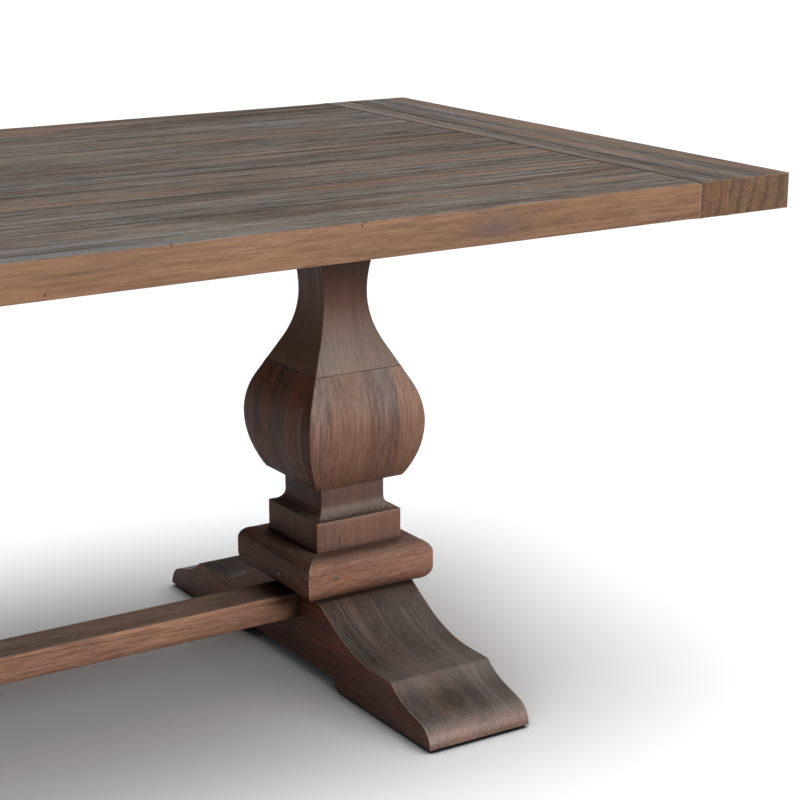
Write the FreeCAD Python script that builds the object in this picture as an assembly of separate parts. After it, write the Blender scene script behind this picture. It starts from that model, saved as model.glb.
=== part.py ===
import FreeCAD, Part
import math
import os

# Dining table: a plank top on two carved pedestals, joined near the floor by a stretcher.
# Millimetres. The origin is on the floor under the middle of the top.
# X runs along the table, Y across it and Z up, and the near side faces -Y.

# Whole table
table_height = 762.0
top_length = 2134.0
top_width = 965.0
pedestal_inset = 432.0         # from the end of the top to the pedestal's centre line

# Top: long planks between two built-up ends
top_thick = 48.0
plank_count = 7
end_strip_width = 46.5
end_board_width = 110.5
outer_ease = 2.4               # chamfer of the arrises round the top
seam_ease = 1.2                # chamfer on both sides of a seam
corner_round = 7.0
long_tongue_thick = 14.0
long_tongue_reach = 12.0
end_tongue_thick = 16.0
end_tongue_reach = 18.0
spline_thick = 12.0
spline_reach = 14.0            # into each of the two boards that it joins
joint_stop = 45.0              # the end joints stop this far inside the long edges
joint_clear = 0.3              # play of every tongue, spline and tenon in its groove

# Runner foot, as seen from the end of the table
glide_thick = 5.0
foot_width = 165.0
foot_length = 773.0
foot_height = 120.0
foot_ledge = 5.0               # flat top left outside the base moulding
sweep_low = 64.0               # height of the sweep's lowest part over the underside
sweep_level = 41.3             # level run between the sweep and the toe's ridge
sweep_arc_share = 0.388        # how far back the arc's low tangent runs, of the sweep's length
toe_length = 100.0             # from the toe's ridge to the end of the foot
toe_cove_radius = 95.0
toe_angle = 15.5               # fall of the toe between cove and nose, in degrees
nose_radius = 32.0
sole_length = 246.5            # underside of each toe, up to the relief
relief_depth = 15.0
relief_slant = 6.0
foot_ease = 2.5

# Post of the pedestal, worked from one square blank
post_width = 145.0
plinth_height = 46.0           # bare square part over the base moulding
neck_width = 108.0
neck_fillet = 4.0
throat_width = 74.2
cap_neck_width = 96.0
cap_block_height = 30.0
plinth_ease = 1.5
post_tenon_width = 64.0
foot_tenon_length = 18.0
bearer_tenon_length = 20.0

# Heights between the plinth and the cap block, as shares of that run
neck_share = 0.1294            # up to the bulb's underside
bulb_share = 0.2138            # from there to the bulb's widest level
throat_share = 0.4769          # from there to the throat

# Bulb, built up by four cheeks glued on the post
cheek_thick = 25.8             # at the widest level
bulb_foot_width = 149.3
shoulder_radius_share = 0.406  # of the largest pair of arcs that joins bulb and throat
throat_radius_share = 0.497

# Base moulding, four mitred lengths round the foot of the post
moulding_thick = 34.5
moulding_height = 65.0
moulding_low_round = 24.0
moulding_high_round = 20.0

# Bearer between a post and the top
bearer_length = 700.0
bearer_width = 130.0
bearer_depth = 50.0
bearer_tip = 26.0              # depth left at the ends
bearer_flat = 400.0

# Stretcher
stretcher_width = 65.0
stretcher_depth = 39.0
stretcher_rise = 77.0          # from the floor to its underside
stretcher_ease = 2.5
stretcher_tenon_reach = 25.0
stretcher_tenon_inset = 7.0

# Tie rod that clamps bearer, post and foot
tie_radius = 6.0
tie_hole_clear = 0.5
tie_nut_across = 18.0
tie_nut_height = 12.0          # with its flange
tie_flange_radius = 15.0
tie_flange_thick = 2.5
tie_thread_clear = 0.1
tie_sink_radius = 18.0
tie_foot_sink = 20.0
tie_bearer_sink = 16.0
tie_end_gap = 1.5              # rod end below the face that covers it

# Bolt and barrel nut at each end of the stretcher
bolt_offset = 18.0             # beside the tie rod
bolt_radius = 4.0
bolt_hole_clear = 0.5
bolt_head_across = 13.0
bolt_head_height = 5.5
bolt_sink_radius = 10.5
bolt_sink_depth = 14.0
bolt_thread_clear = 0.1
barrel_radius = 7.0
barrel_length = 26.0
barrel_setback = 45.0          # from the stretcher's shoulder
barrel_clear = 0.2

# Hex-head lag screws of the bearers
lag_seat = 18.0                # from the planks down to the heads
lag_across = 10.0
lag_head_height = 5.0
lag_radius = 3.0
lag_length = 48.0              # under the head
lag_hole_clear = 0.1
lag_sink_radius = 8.0

# Glide pads
pad_length = 60.0
pad_width = 30.0
pad_edge = 1.5                 # chamfer round the face on the floor
pad_from_nose = 52.0           # from the foot's end to the middle of a pad
pad_from_side = 34.0

# Cuts run this far past the faces that they open
overrun = 2.0

# Lengths that differ by less are the same
rounding = 0.001

# Levels and half sizes worked out from the sizes above
V = FreeCAD.Vector
top_low = table_height - top_thick
top_middle = table_height - top_thick / 2
half_length = top_length / 2
half_width = top_width / 2
plank_half = half_length - end_board_width - end_strip_width
plank_width = top_width / plank_count
strip_outer = plank_half + end_strip_width
strip_middle = plank_half + end_strip_width / 2
pedestal_x = half_length - pedestal_inset
foot_top = glide_thick + foot_height
foot_half = foot_length / 2
post_half = post_width / 2
moulding_half = post_half + moulding_thick
moulding_top = foot_top + moulding_height
plinth_top = moulding_top + plinth_height
bearer_low = top_low - bearer_depth
cap_low = bearer_low - cap_block_height
shaft_height = cap_low - plinth_top
bulb_rise = shaft_height * bulb_share
throat_rise = shaft_height * throat_share
bulb_low = plinth_top + shaft_height * neck_share
bulb_level = bulb_low + bulb_rise
throat_level = bulb_level + throat_rise
bulb_half = post_half + cheek_thick
throat_half = throat_width / 2
relief_level = glide_thick + relief_depth
relief_half = foot_half - sole_length
stretcher_level = stretcher_rise + stretcher_depth / 2
stretcher_half = pedestal_x - foot_width / 2


# Plain shapes

def block(x, y, z):
    """A box over three (low, high) ranges."""
    corner = V(x[0], y[0], z[0])
    return Part.makeBox(x[1] - x[0], y[1] - y[0], z[1] - z[0], corner)


def about(middle, size):
    """The (low, high) range of a size about its middle."""
    return (middle - size / 2, middle + size / 2)


def bar(radius, start, end):
    """A round bar from one point to another."""
    start = V(*start)
    run = V(*end) - start
    return Part.makeCylinder(radius, run.Length, start, run)


def hexagon(across, z):
    """An upright hexagonal bar over a (low, high) range of Z, with its flats this far apart."""
    corner = across / 2 / math.cos(math.pi / 6)
    angles = [step * math.pi / 3 for step in range(7)]
    points = [V(corner * math.cos(angle), corner * math.sin(angle), z[0]) for angle in angles]
    return Part.Face(Part.makePolygon(points)).extrude(V(0, 0, z[1] - z[0]))


def line(a, b):
    """A straight edge between two (y, z) points."""
    return Part.LineSegment(V(0, *a), V(0, *b)).toShape()


def outline(points):
    """The closed outline through (y, z) points."""
    return [line(a, b) for a, b in zip(points, points[1:] + points[:1])]


def turn(centre, radius, first, last):
    """A circular edge in the YZ plane between two angles in degrees, 0 towards +Y."""
    points = []
    for angle in (first, (first + last) / 2, last):
        lean = math.radians(angle)
        points.append(V(0, centre[0] + radius * math.cos(lean), centre[1] + radius * math.sin(lean)))
    return Part.Arc(*points).toShape()


def both_sides(edges):
    """The edges of a half outline and their mirror images."""
    return edges + [edge.mirror(V(0, 0, 0), V(0, 1, 0)) for edge in edges]


def along_x(edges, x):
    """The closed outline in the YZ plane, swept over a (low, high) range of X."""
    face = Part.Face(Part.Wire(Part.__sortEdges__(edges)))
    face.translate(V(x[0], 0, 0))
    return face.extrude(V(x[1] - x[0], 0, 0))


def turned(shape, degrees):
    """A copy turned about the upright axis through the origin."""
    copy = shape.copy()
    copy.rotate(V(0, 0, 0), V(0, 0, 1), degrees)
    return copy


def moved(shape, x, y, z):
    """A copy moved by a step."""
    copy = shape.copy()
    copy.translate(V(x, y, z))
    return copy


def edges_where(shape, test):
    """The edges whose centre passes a test."""
    return [edge for edge in shape.Edges if test(edge.CenterOfMass)]


def near(a, b):
    """Whether two lengths are the same but for rounding."""
    return abs(a - b) < rounding


def lag_screw():
    """A hex-head lag screw that points up, with its head's seat at the origin."""
    head = hexagon(lag_across, (-lag_head_height, 0))
    return head.fuse(bar(lag_radius, (0, 0, 0), (0, 0, lag_length)))


def lag_hole(place):
    """The hole for such a screw with its head's seat at a place."""
    x, y, z = place
    return bar(lag_radius + lag_hole_clear, place, (x, y, z + lag_length + lag_hole_clear))


def save(name, *solids):
    """Write one sub-part."""
    shape = solids[0] if len(solids) == 1 else Part.Compound(list(solids))
    shape.exportStep(os.path.join("parts", name + ".step"))


# Plank top

def plank_section(index):
    """Cross-section of one plank as (y, z) points, from its front top arris round."""
    front = -half_width + index * plank_width
    back = front + plank_width
    low, high = top_low, table_height
    first = index == 0
    last = index == plank_count - 1
    front_ease = outer_ease if first else seam_ease
    back_ease = outer_ease if last else seam_ease

    points = [(front + front_ease, high), (front, high - front_ease)]
    if not first:
        tongue = about(top_middle, long_tongue_thick - joint_clear)
        tip = front - long_tongue_reach
        points += [(front, tongue[1]), (tip, tongue[1]), (tip, tongue[0]), (front, tongue[0])]
    points += [(front, low + front_ease), (front + front_ease, low)]
    points += [(back - back_ease, low), (back, low + back_ease)]
    if not last:
        groove = about(top_middle, long_tongue_thick)
        floor = back - long_tongue_reach - joint_clear
        points += [(back, groove[0]), (floor, groove[0]), (floor, groove[1]), (back, groove[1])]
    points += [(back, high - back_ease), (back - back_ease, high)]
    return points


def plank(index):
    """One long plank, with a stub tongue on each end."""
    body = along_x(outline(plank_section(index)), (-plank_half, plank_half))
    ends = edges_where(body, lambda c: near(abs(c.x), plank_half) and near(c.z, table_height))
    body = body.makeChamfer(seam_ease, ends)

    front = -half_width + index * plank_width
    stop = half_width - joint_stop
    reach = (max(front, -stop), min(front + plank_width, stop))
    tongue = about(top_middle, end_tongue_thick - joint_clear)
    for side in (-1, 1):
        x = sorted((side * plank_half, side * (plank_half + end_tongue_reach)))
        body = body.fuse(block(x, reach, tongue))
    return body.removeSplitter()


def end_groove(x, y_half, thick):
    """The room for a stopped tongue or spline, over a range of X."""
    return block(x, (-y_half - joint_clear, y_half + joint_clear), about(top_middle, thick))


def end_strip():
    """Inner board of the right-hand end: it takes the planks' tongues and the loose spline."""
    body = block((plank_half, strip_outer), (-half_width, half_width), (top_low, table_height))
    seams = edges_where(body, lambda c: near(c.y, 0) and near(c.z, table_height))
    body = body.makeChamfer(seam_ease, seams)
    ends = edges_where(body, lambda c: near(abs(c.y), half_width) and near(c.x, strip_middle))
    body = body.makeChamfer(outer_ease, ends)
    stop = half_width - joint_stop
    tongues = (plank_half - overrun, plank_half + end_tongue_reach + joint_clear)
    splines = (strip_outer - spline_reach - joint_clear, strip_outer + overrun)
    body = body.cut(end_groove(tongues, stop, end_tongue_thick))
    return body.cut(end_groove(splines, stop, spline_thick))


def end_board():
    """Outer board of the right-hand end, with its two free corners rounded."""
    body = block((strip_outer, half_length), (-half_width, half_width), (top_low, table_height))
    corners = edges_where(body, lambda c: near(c.x, half_length) and near(c.z, top_middle))
    body = body.makeFillet(corner_round, corners)
    free = edges_where(body, lambda c: not near(c.x, strip_outer) and abs(c.z - top_middle) > overrun)
    body = body.makeChamfer(outer_ease, free)
    seam = edges_where(body, lambda c: near(c.x, strip_outer) and near(c.z, table_height))
    body = body.makeChamfer(seam_ease, seam)
    splines = (strip_outer - overrun, strip_outer + spline_reach + joint_clear)
    return body.cut(end_groove(splines, half_width - joint_stop, spline_thick))


def end_spline():
    """Loose spline between the two boards of the right-hand end."""
    stop = half_width - joint_stop
    x = about(strip_outer, 2 * spline_reach)
    return block(x, (-stop, stop), about(top_middle, spline_thick - joint_clear))


def lag_places():
    """Seats of a bearer's lag screws, at the middle lines of the planks beside the middle one."""
    return [(0, side * plank_width, top_low - lag_seat) for side in (-1, 1)]


# Runner foot

def foot_edges():
    """Half outline of the foot, from the middle of its top round to the middle of its underside."""
    base = glide_thick
    flat_half = moulding_half - moulding_low_round + foot_ledge
    ridge = (foot_half - toe_length, base + sweep_low)

    # The sweep falls straight at first and then turns level in one arc
    sweep_end = ridge[0] - sweep_level
    length = sweep_end - flat_half
    fall = math.atan2(foot_height - sweep_low, length * (1 - sweep_arc_share))
    sweep_radius = length * sweep_arc_share / math.tan(fall / 2)
    join = sweep_end - sweep_radius * math.sin(fall)
    sweep_join = base + sweep_low + sweep_radius * (1 - math.cos(fall))

    # The toe's straight fall touches the nose at one end and the cove at the other
    slope = math.radians(toe_angle)
    along = (math.cos(slope), -math.sin(slope))
    outward = (math.sin(slope), math.cos(slope))
    nose = (foot_half - nose_radius, base)
    nose_join = (nose[0] + nose_radius * outward[0], nose[1] + nose_radius * outward[1])
    gap = (ridge[0] - nose_join[0], ridge[1] - nose_join[1])
    back = -(gap[0] * along[0] + gap[1] * along[1])
    rise = gap[0] * outward[0] + gap[1] * outward[1]
    cove_back = back - math.sqrt(toe_cove_radius ** 2 - (toe_cove_radius - rise) ** 2)
    cove_join = (nose_join[0] - cove_back * along[0], nose_join[1] - cove_back * along[1])
    cove = (cove_join[0] + toe_cove_radius * outward[0], cove_join[1] + toe_cove_radius * outward[1])
    cove_start = math.degrees(math.atan2(ridge[1] - cove[1], ridge[0] - cove[0]))

    return [
        line((0, foot_top), (flat_half, foot_top)),
        line((flat_half, foot_top), (join, sweep_join)),
        turn((sweep_end, base + sweep_low + sweep_radius), sweep_radius, 270 - math.degrees(fall), 270),
        line((sweep_end, base + sweep_low), ridge),
        turn(cove, toe_cove_radius, cove_start, -90 - toe_angle),
        line(cove_join, nose_join),
        turn(nose, nose_radius, 90 - toe_angle, 0),
        line((foot_half, base), (relief_half, base)),
        line((relief_half, base), (relief_half - relief_slant, relief_level)),
        line((relief_half - relief_slant, relief_level), (0, relief_level)),
    ]


def foot():
    """Right-hand runner foot, with its middle at the origin and the stretcher on its -X side."""
    side = foot_width / 2
    body = along_x(both_sides(foot_edges()), (-side, side))
    rim = edges_where(body, lambda c: near(abs(c.x), side) and c.z > relief_level + overrun)
    body = body.makeChamfer(foot_ease, rim)

    mortise = about(0, post_tenon_width + joint_clear)
    floor = foot_top - foot_tenon_length - joint_clear
    cuts = [block(mortise, mortise, (floor, foot_top + overrun))]
    cuts.append(bar(tie_radius + tie_hole_clear, (0, 0, glide_thick), (0, 0, foot_top)))
    cuts.append(bar(tie_sink_radius, (0, 0, glide_thick), (0, 0, relief_level + tie_foot_sink)))

    inner = stretcher_tenon_reach + joint_clear - side
    width = about(0, stretcher_width - 2 * stretcher_tenon_inset + joint_clear)
    depth = about(stretcher_level, stretcher_depth - 2 * stretcher_tenon_inset + joint_clear)
    cuts.append(block((-side - overrun, inner), width, depth))
    seat = (side - bolt_sink_depth, bolt_offset, stretcher_level)
    cuts.append(bar(bolt_sink_radius, seat, (side + overrun, bolt_offset, stretcher_level)))
    cuts.append(bar(bolt_radius + bolt_hole_clear, (-side, bolt_offset, stretcher_level), seat))
    return body.cut(cuts)


def glide_places():
    """Centres of the four glide pads of a foot."""
    x = foot_width / 2 - pad_from_side
    y = foot_half - pad_from_nose
    return [(a, b) for a in (-x, x) for b in (-y, y)]


def glide():
    """Glide pad with a chamfered lower rim, standing on the floor at the origin."""
    pad = block(about(0, pad_width), about(0, pad_length), (0, glide_thick))
    return pad.makeChamfer(pad_edge, edges_where(pad, lambda c: near(c.z, 0)))


# Post, bulb and base moulding

def baluster_edges():
    """Half outline of the whole baluster, from the middle of its foot up to the middle of its cap."""
    cove_radius = post_half - neck_width / 2
    fillet_level = bulb_low - neck_fillet
    bulb_foot = bulb_foot_width / 2
    swell = bulb_half - bulb_foot
    low_radius = (bulb_rise ** 2 + swell ** 2) / (2 * swell)
    low_start = math.degrees(math.asin(bulb_rise / low_radius))

    # Bulb and throat turn opposite ways, with a straight flank that touches both
    narrowing = bulb_half - throat_half
    largest = (throat_rise ** 2 + narrowing ** 2) / (2 * narrowing)
    shoulder_radius = shoulder_radius_share * largest
    throat_radius = throat_radius_share * largest
    shoulder = (bulb_half - shoulder_radius, bulb_level)
    throat = (throat_half + throat_radius, throat_level)
    across = throat[0] - shoulder[0]
    apart = math.hypot(across, throat_rise)
    lean = math.atan2(throat_rise, across) - math.acos((shoulder_radius + throat_radius) / apart)
    lean = math.degrees(lean)
    flank = turn(shoulder, shoulder_radius, 0, lean)
    hollow = turn(throat, throat_radius, 180 + lean, 180)

    # Above the throat one arc flares out to the neck of the cap block
    cap_neck = cap_neck_width / 2
    flare_out = cap_neck - throat_half
    flare_rise = cap_low - throat_level
    flare_radius = (flare_rise ** 2 + flare_out ** 2) / (2 * flare_out)
    flare_turn = math.degrees(math.asin(flare_rise / flare_radius))

    flank_end = flank.Vertexes[-1].Point
    hollow_start = hollow.Vertexes[0].Point
    return [
        line((0, foot_top), (post_half, foot_top)),
        line((post_half, foot_top), (post_half, plinth_top)),
        turn((post_half, plinth_top + cove_radius), cove_radius, 270, 180),
        line((neck_width / 2, plinth_top + cove_radius), (neck_width / 2, fillet_level)),
        turn((neck_width / 2 + neck_fillet, fillet_level), neck_fillet, 180, 90),
        line((neck_width / 2 + neck_fillet, bulb_low), (bulb_foot, bulb_low)),
        turn((bulb_half - low_radius, bulb_level), low_radius, -low_start, 0),
        flank,
        line((flank_end.y, flank_end.z), (hollow_start.y, hollow_start.z)),
        hollow,
        turn((throat_half + flare_radius, throat_level), flare_radius, 180, 180 - flare_turn),
        line((cap_neck, cap_low), (post_half, cap_low)),
        line((post_half, cap_low), (post_half, bearer_low)),
        line((post_half, bearer_low), (0, bearer_low)),
    ]


def baluster():
    """The carved square baluster, before it is parted into post and cheeks."""
    sweep = along_x(both_sides(baluster_edges()), (-bulb_half - overrun, bulb_half + overrun))
    return sweep.common(turned(sweep, 90))


def post(carved):
    """The square post, with a tenon into the foot and one into the bearer."""
    square = (-post_half, post_half)
    body = carved.common(block(square, square, (foot_top, bearer_low)))
    arrises = edges_where(
        body,
        lambda c: near(abs(c.x), post_half) and near(abs(c.y), post_half) and c.z < plinth_top)
    body = body.makeFillet(plinth_ease, arrises)
    tenon = about(0, post_tenon_width)
    low = block(tenon, tenon, (foot_top - foot_tenon_length, foot_top + overrun))
    high = block(tenon, tenon, (bearer_low - overrun, bearer_low + bearer_tenon_length))
    body = body.fuse([low, high]).removeSplitter()
    return body.cut(bar(tie_radius + tie_hole_clear, (0, 0, glide_thick), (0, 0, table_height)))


def cheek(carved, quarter):
    """One glued cheek of the bulb; quarters 0 to 3 face -Y, +X, +Y and -X.

    The cheeks of the long sides run the full width and the other two fit between them."""
    outer = bulb_half + overrun
    span = outer if quarter % 2 == 0 else post_half
    slab = block((-span, span), (-outer, -post_half), (bulb_low, throat_level))
    return carved.common(turned(slab, 90 * quarter))


def moulding(quarter):
    """One mitred length of the base moulding, numbered as the cheeks are."""
    low_start = moulding_half - moulding_low_round
    high_end = moulding_half - moulding_high_round
    flat_low = foot_top + moulding_low_round
    flat_high = moulding_top - moulding_high_round
    edges = [
        line((-post_half, foot_top), (-low_start, foot_top)),
        turn((-low_start, flat_low), moulding_low_round, 270, 180),
        line((-moulding_half, flat_low), (-moulding_half, flat_high)),
        turn((-high_end, flat_high), moulding_high_round, 180, 90),
        line((-high_end, moulding_top), (-post_half, moulding_top)),
        line((-post_half, moulding_top), (-post_half, foot_top)),
    ]
    strip = along_x(edges, (-moulding_half, moulding_half))
    corner = moulding_half + overrun
    points = [V(0, 0, foot_top), V(corner, -corner, foot_top), V(-corner, -corner, foot_top)]
    wedge = Part.Face(Part.makePolygon(points + points[:1])).extrude(V(0, 0, moulding_height))
    return turned(strip.common(wedge), 90 * quarter)


# Bearer

def bearer():
    """Bearer at the origin, with boat-shaped ends."""
    half = bearer_length / 2
    flat = bearer_flat / 2
    rise = bearer_depth - bearer_tip
    radius = ((half - flat) ** 2 + rise ** 2) / (2 * rise)
    sweep = math.degrees(math.asin((half - flat) / radius))
    edges = [
        line((0, bearer_low), (flat, bearer_low)),
        turn((flat, bearer_low + radius), radius, 270, 270 + sweep),
        line((half, top_low - bearer_tip), (half, top_low)),
        line((half, top_low), (0, top_low)),
    ]
    body = along_x(both_sides(edges), about(0, bearer_width))
    mortise = about(0, post_tenon_width + joint_clear)
    roof = bearer_low + bearer_tenon_length + joint_clear
    cuts = [block(mortise, mortise, (bearer_low - overrun, roof))]
    cuts.append(bar(tie_radius + tie_hole_clear, (0, 0, bearer_low), (0, 0, top_low)))
    cuts.append(bar(tie_sink_radius, (0, 0, top_low - tie_bearer_sink), (0, 0, top_low + overrun)))
    for x, y, z in lag_places():
        cuts.append(bar(lag_sink_radius, (x, y, bearer_low - overrun), (x, y, z)))
        cuts.append(lag_hole((x, y, z)))
    return body.cut(cuts)


# Tie rod

def tie_rod():
    """Threaded rod from the foot's relief to the top of the bearer."""
    return bar(tie_radius, (0, 0, relief_level + tie_end_gap), (0, 0, top_low - tie_end_gap))


def tie_nut(seat, away):
    """Flange nut on the tie rod, from its seat's level up or down (away is 1 or -1)."""
    end = seat + away * tie_nut_height
    flange = bar(tie_flange_radius, (0, 0, seat), (0, 0, seat + away * tie_flange_thick))
    nut = flange.fuse(hexagon(tie_nut_across, sorted((seat, end)))).removeSplitter()
    return nut.cut(bar(tie_radius + tie_thread_clear, (0, 0, seat), (0, 0, end)))


# Stretcher

def stretcher():
    """Flat rail between the feet, with a stub tenon on each end."""
    side = stretcher_width / 2
    low, high = about(stretcher_level, stretcher_depth)
    body = block((-stretcher_half, stretcher_half), (-side, side), (low, high))
    arrises = edges_where(body, lambda c: near(c.x, 0))
    body = body.makeFillet(stretcher_ease, arrises)
    inset = 2 * stretcher_tenon_inset
    width = about(0, stretcher_width - inset)
    depth = about(stretcher_level, stretcher_depth - inset)
    reach = stretcher_half + stretcher_tenon_reach
    body = body.fuse(block((-reach, reach), width, depth)).removeSplitter()
    x = stretcher_half - barrel_setback
    roof = stretcher_level + barrel_length / 2 + barrel_clear
    run = ((x, bolt_offset, stretcher_level), (reach, bolt_offset, stretcher_level))
    bolt = bar(bolt_radius + bolt_hole_clear, *run)
    barrel = bar(barrel_radius + barrel_clear, (x, bolt_offset, low - overrun), (x, bolt_offset, roof))
    return body.cut([turned(hole, degrees) for hole in (bolt, barrel) for degrees in (0, 180)])


def stretcher_bolt():
    """Right-hand hex bolt, from the foot's outer face into the stretcher."""
    seat = pedestal_x + foot_width / 2 - bolt_sink_depth
    tip = stretcher_half - barrel_setback - barrel_radius / 2
    shank = bar(bolt_radius, (0, 0, tip), (0, 0, seat))
    bolt = shank.fuse(hexagon(bolt_head_across, (seat, seat + bolt_head_height)))
    bolt.rotate(V(0, 0, 0), V(0, 1, 0), 90)
    return moved(bolt, 0, bolt_offset, stretcher_level)


def barrel_nut():
    """Right-hand cross dowel, which takes that bolt inside the stretcher."""
    x = stretcher_half - barrel_setback
    low, high = about(stretcher_level, barrel_length)
    nut = bar(barrel_radius, (x, bolt_offset, low), (x, bolt_offset, high))
    ends = [(side, bolt_offset, stretcher_level) for side in about(x, 4 * barrel_radius)]
    return nut.cut(bar(bolt_radius + bolt_thread_clear, *ends))


# Write the sub-parts

def write_top():
    """Planks and built-up ends."""
    places = [(x + side * pedestal_x, y, z) for side in (-1, 1) for x, y, z in lag_places()]
    for index in range(plank_count):
        front = -half_width + index * plank_width
        holes = [lag_hole(place) for place in places if front < place[1] < front + plank_width]
        board = plank(index)
        save("top_plank_%d" % (index + 1), board.cut(holes) if holes else board)

    for name, degrees in (("right", 0), ("left", 180)):
        save("end_strip_" + name, turned(end_strip(), degrees))
        save("end_board_" + name, turned(end_board(), degrees))
        save("end_spline_" + name, turned(end_spline(), degrees))


def write_pedestal(name, degrees, faces):
    """One pedestal, made on the right and turned; faces names its sides from quarter 0 on."""
    carved = baluster()
    nuts = [tie_nut(relief_level + tie_foot_sink, -1), tie_nut(top_low - tie_bearer_sink, 1)]
    pieces = {
        "foot_": [foot()],
        "glides_": [moved(glide(), x, y, 0) for x, y in glide_places()],
        "post_": [post(carved)],
        "bearer_": [bearer()],
        "lag_screws_": [moved(lag_screw(), *place) for place in lag_places()],
        "tie_rod_": [tie_rod()],
        "tie_nuts_": nuts,
    }
    for quarter, face in enumerate(faces):
        pieces["bulb_cheek_%s_" % face] = [cheek(carved, quarter)]
        pieces["base_moulding_%s_" % face] = [moulding(quarter)]
    for piece, solids in pieces.items():
        save(piece + name, *[turned(moved(one, pedestal_x, 0, 0), degrees) for one in solids])


def write_stretcher():
    """Stretcher with its bolts and barrel nuts."""
    save("stretcher", stretcher())
    save("stretcher_bolts", *[turned(stretcher_bolt(), degrees) for degrees in (0, 180)])
    save("barrel_nuts", *[turned(barrel_nut(), degrees) for degrees in (0, 180)])


os.makedirs("parts", exist_ok=True)
write_top()
write_pedestal("right", 0, ("front", "outer", "back", "inner"))
write_pedestal("left", 180, ("back", "outer", "front", "inner"))
write_stretcher()
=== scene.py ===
import math
from types import SimpleNamespace

import bmesh
import bpy
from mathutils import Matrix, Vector


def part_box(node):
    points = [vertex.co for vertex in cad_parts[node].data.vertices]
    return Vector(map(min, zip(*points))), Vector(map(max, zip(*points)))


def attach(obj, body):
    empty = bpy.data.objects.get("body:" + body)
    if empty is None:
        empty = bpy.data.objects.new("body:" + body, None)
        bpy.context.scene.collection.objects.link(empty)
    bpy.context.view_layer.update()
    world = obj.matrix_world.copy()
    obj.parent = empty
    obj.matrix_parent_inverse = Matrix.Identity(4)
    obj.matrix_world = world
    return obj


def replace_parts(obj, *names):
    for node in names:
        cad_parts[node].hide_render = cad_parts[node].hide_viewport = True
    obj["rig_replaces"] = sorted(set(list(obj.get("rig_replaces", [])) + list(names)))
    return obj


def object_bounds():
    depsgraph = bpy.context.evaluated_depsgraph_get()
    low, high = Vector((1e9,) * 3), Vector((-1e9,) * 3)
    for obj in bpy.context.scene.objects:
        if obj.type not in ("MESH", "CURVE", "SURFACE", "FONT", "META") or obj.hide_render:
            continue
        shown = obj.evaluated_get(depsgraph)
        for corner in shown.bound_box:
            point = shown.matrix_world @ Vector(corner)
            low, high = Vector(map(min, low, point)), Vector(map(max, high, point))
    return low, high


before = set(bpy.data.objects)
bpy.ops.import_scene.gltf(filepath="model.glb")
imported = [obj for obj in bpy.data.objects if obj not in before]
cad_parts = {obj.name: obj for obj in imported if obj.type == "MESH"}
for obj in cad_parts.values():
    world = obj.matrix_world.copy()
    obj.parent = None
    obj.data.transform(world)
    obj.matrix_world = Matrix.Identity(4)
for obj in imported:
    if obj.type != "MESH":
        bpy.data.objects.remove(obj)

bl_info = {
    "name": "Trestle Dining Table",
    "version": (1, 0, 0),
    "blender": (4, 5, 0),
    "location": "3D View > Sidebar > Table",
    "description": "Makes a plank-top dining table on two carved pedestals",
    "category": "Add Mesh",
}

MM = 0.001
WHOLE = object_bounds()
PLANKS = 7
PLANK_WIDTH = (WHOLE[1][1] - WHOLE[0][1]) / PLANKS
FOOT_LOW, FOOT_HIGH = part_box("foot_right")
PEDESTAL_X = (FOOT_LOW.x + FOOT_HIGH.x) / 2
GLUE_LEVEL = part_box("bulb_cheek_front_right")[1].z
BOLT_LEVEL = (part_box("stretcher_bolts")[0].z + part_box("stretcher_bolts")[1].z) / 2
BOLT_OFFSET = 18 * MM

# The four sides of the right-hand pedestal and the way each faces
QUARTERS = (("front", (0, -1)), ("outer", (1, 0)), ("back", (0, 1)), ("inner", (-1, 0)))

# Worn skin: how far it reaches in from a face, and how far it stays clear of a joint
SKIN = 4 * MM
CLEAR = 2 * MM
SMOOTH_ANGLE = math.radians(32)

# The corners of the end boards are rounded
CORNER_ROUND = 7 * MM

# Baluster, from the plinth up, in metres or as shares of its curved length or of its largest curve
PLINTH_HALF, PLINTH_RISE, CAP_RISE = 72.5 * MM, 46 * MM, 30 * MM
PLINTH_CUT = 72.52 * MM
CAP_NECK = 48 * MM
BULB_FOOT_HALF = 149.3 * MM / 2
BULB_SHARE, THROAT_SHARE = 0.2138, 0.4769
SHOULDER_CURVE_SHARE, THROAT_CURVE_SHARE = 0.406, 0.497

# Foot, from its middle to its end
FLAT_HALF, RIDGE_SETBACK, SWEEP_SETBACK, TOE_RISE = 88 * MM, 100 * MM, 41.3 * MM, 64 * MM
SWEEP_CURVE_SHARE = 0.388
COVE_SLOPE = 15.5
NOSE_RADIUS, COVE_RADIUS = 32 * MM, 95 * MM
RELIEF_RISE, RELIEF_END, PAD_START = 15 * MM, 134 * MM, 140 * MM

# Bearer: its flat underside, and the rise of the sweep at each end
BEARER_FLAT, BEARER_SWEEP = 200 * MM, 24 * MM

# Stretcher: half its width, and its underside and top from the level of the bolts
STRETCHER_HALF, STRETCHER_DOWN, STRETCHER_UP = 32 * MM, 16 * MM, 24.5 * MM

# Sinks as (radius, sides): bolt head and rod nut in a foot, lag screw in a bearer, barrel nut
BOLT_SINK, ROD_SINK, LAG_SINK, BARREL_SINK = (10.5 * MM, 40), (18 * MM, 48), (8 * MM, 32), (7.2 * MM, 32)

# Studio lights as (direction, strength, tightness), and the light from everywhere
STUDIO_LIGHTS = (
    ((0.42, -0.05, 1.0), 4.4, 12.0), ((-0.08, -0.05, 1.0), 4.4, 12.0), ((0.35, -0.87, 0.35), 0.35, 8.0))
FILL_LIGHT = 0.07

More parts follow.
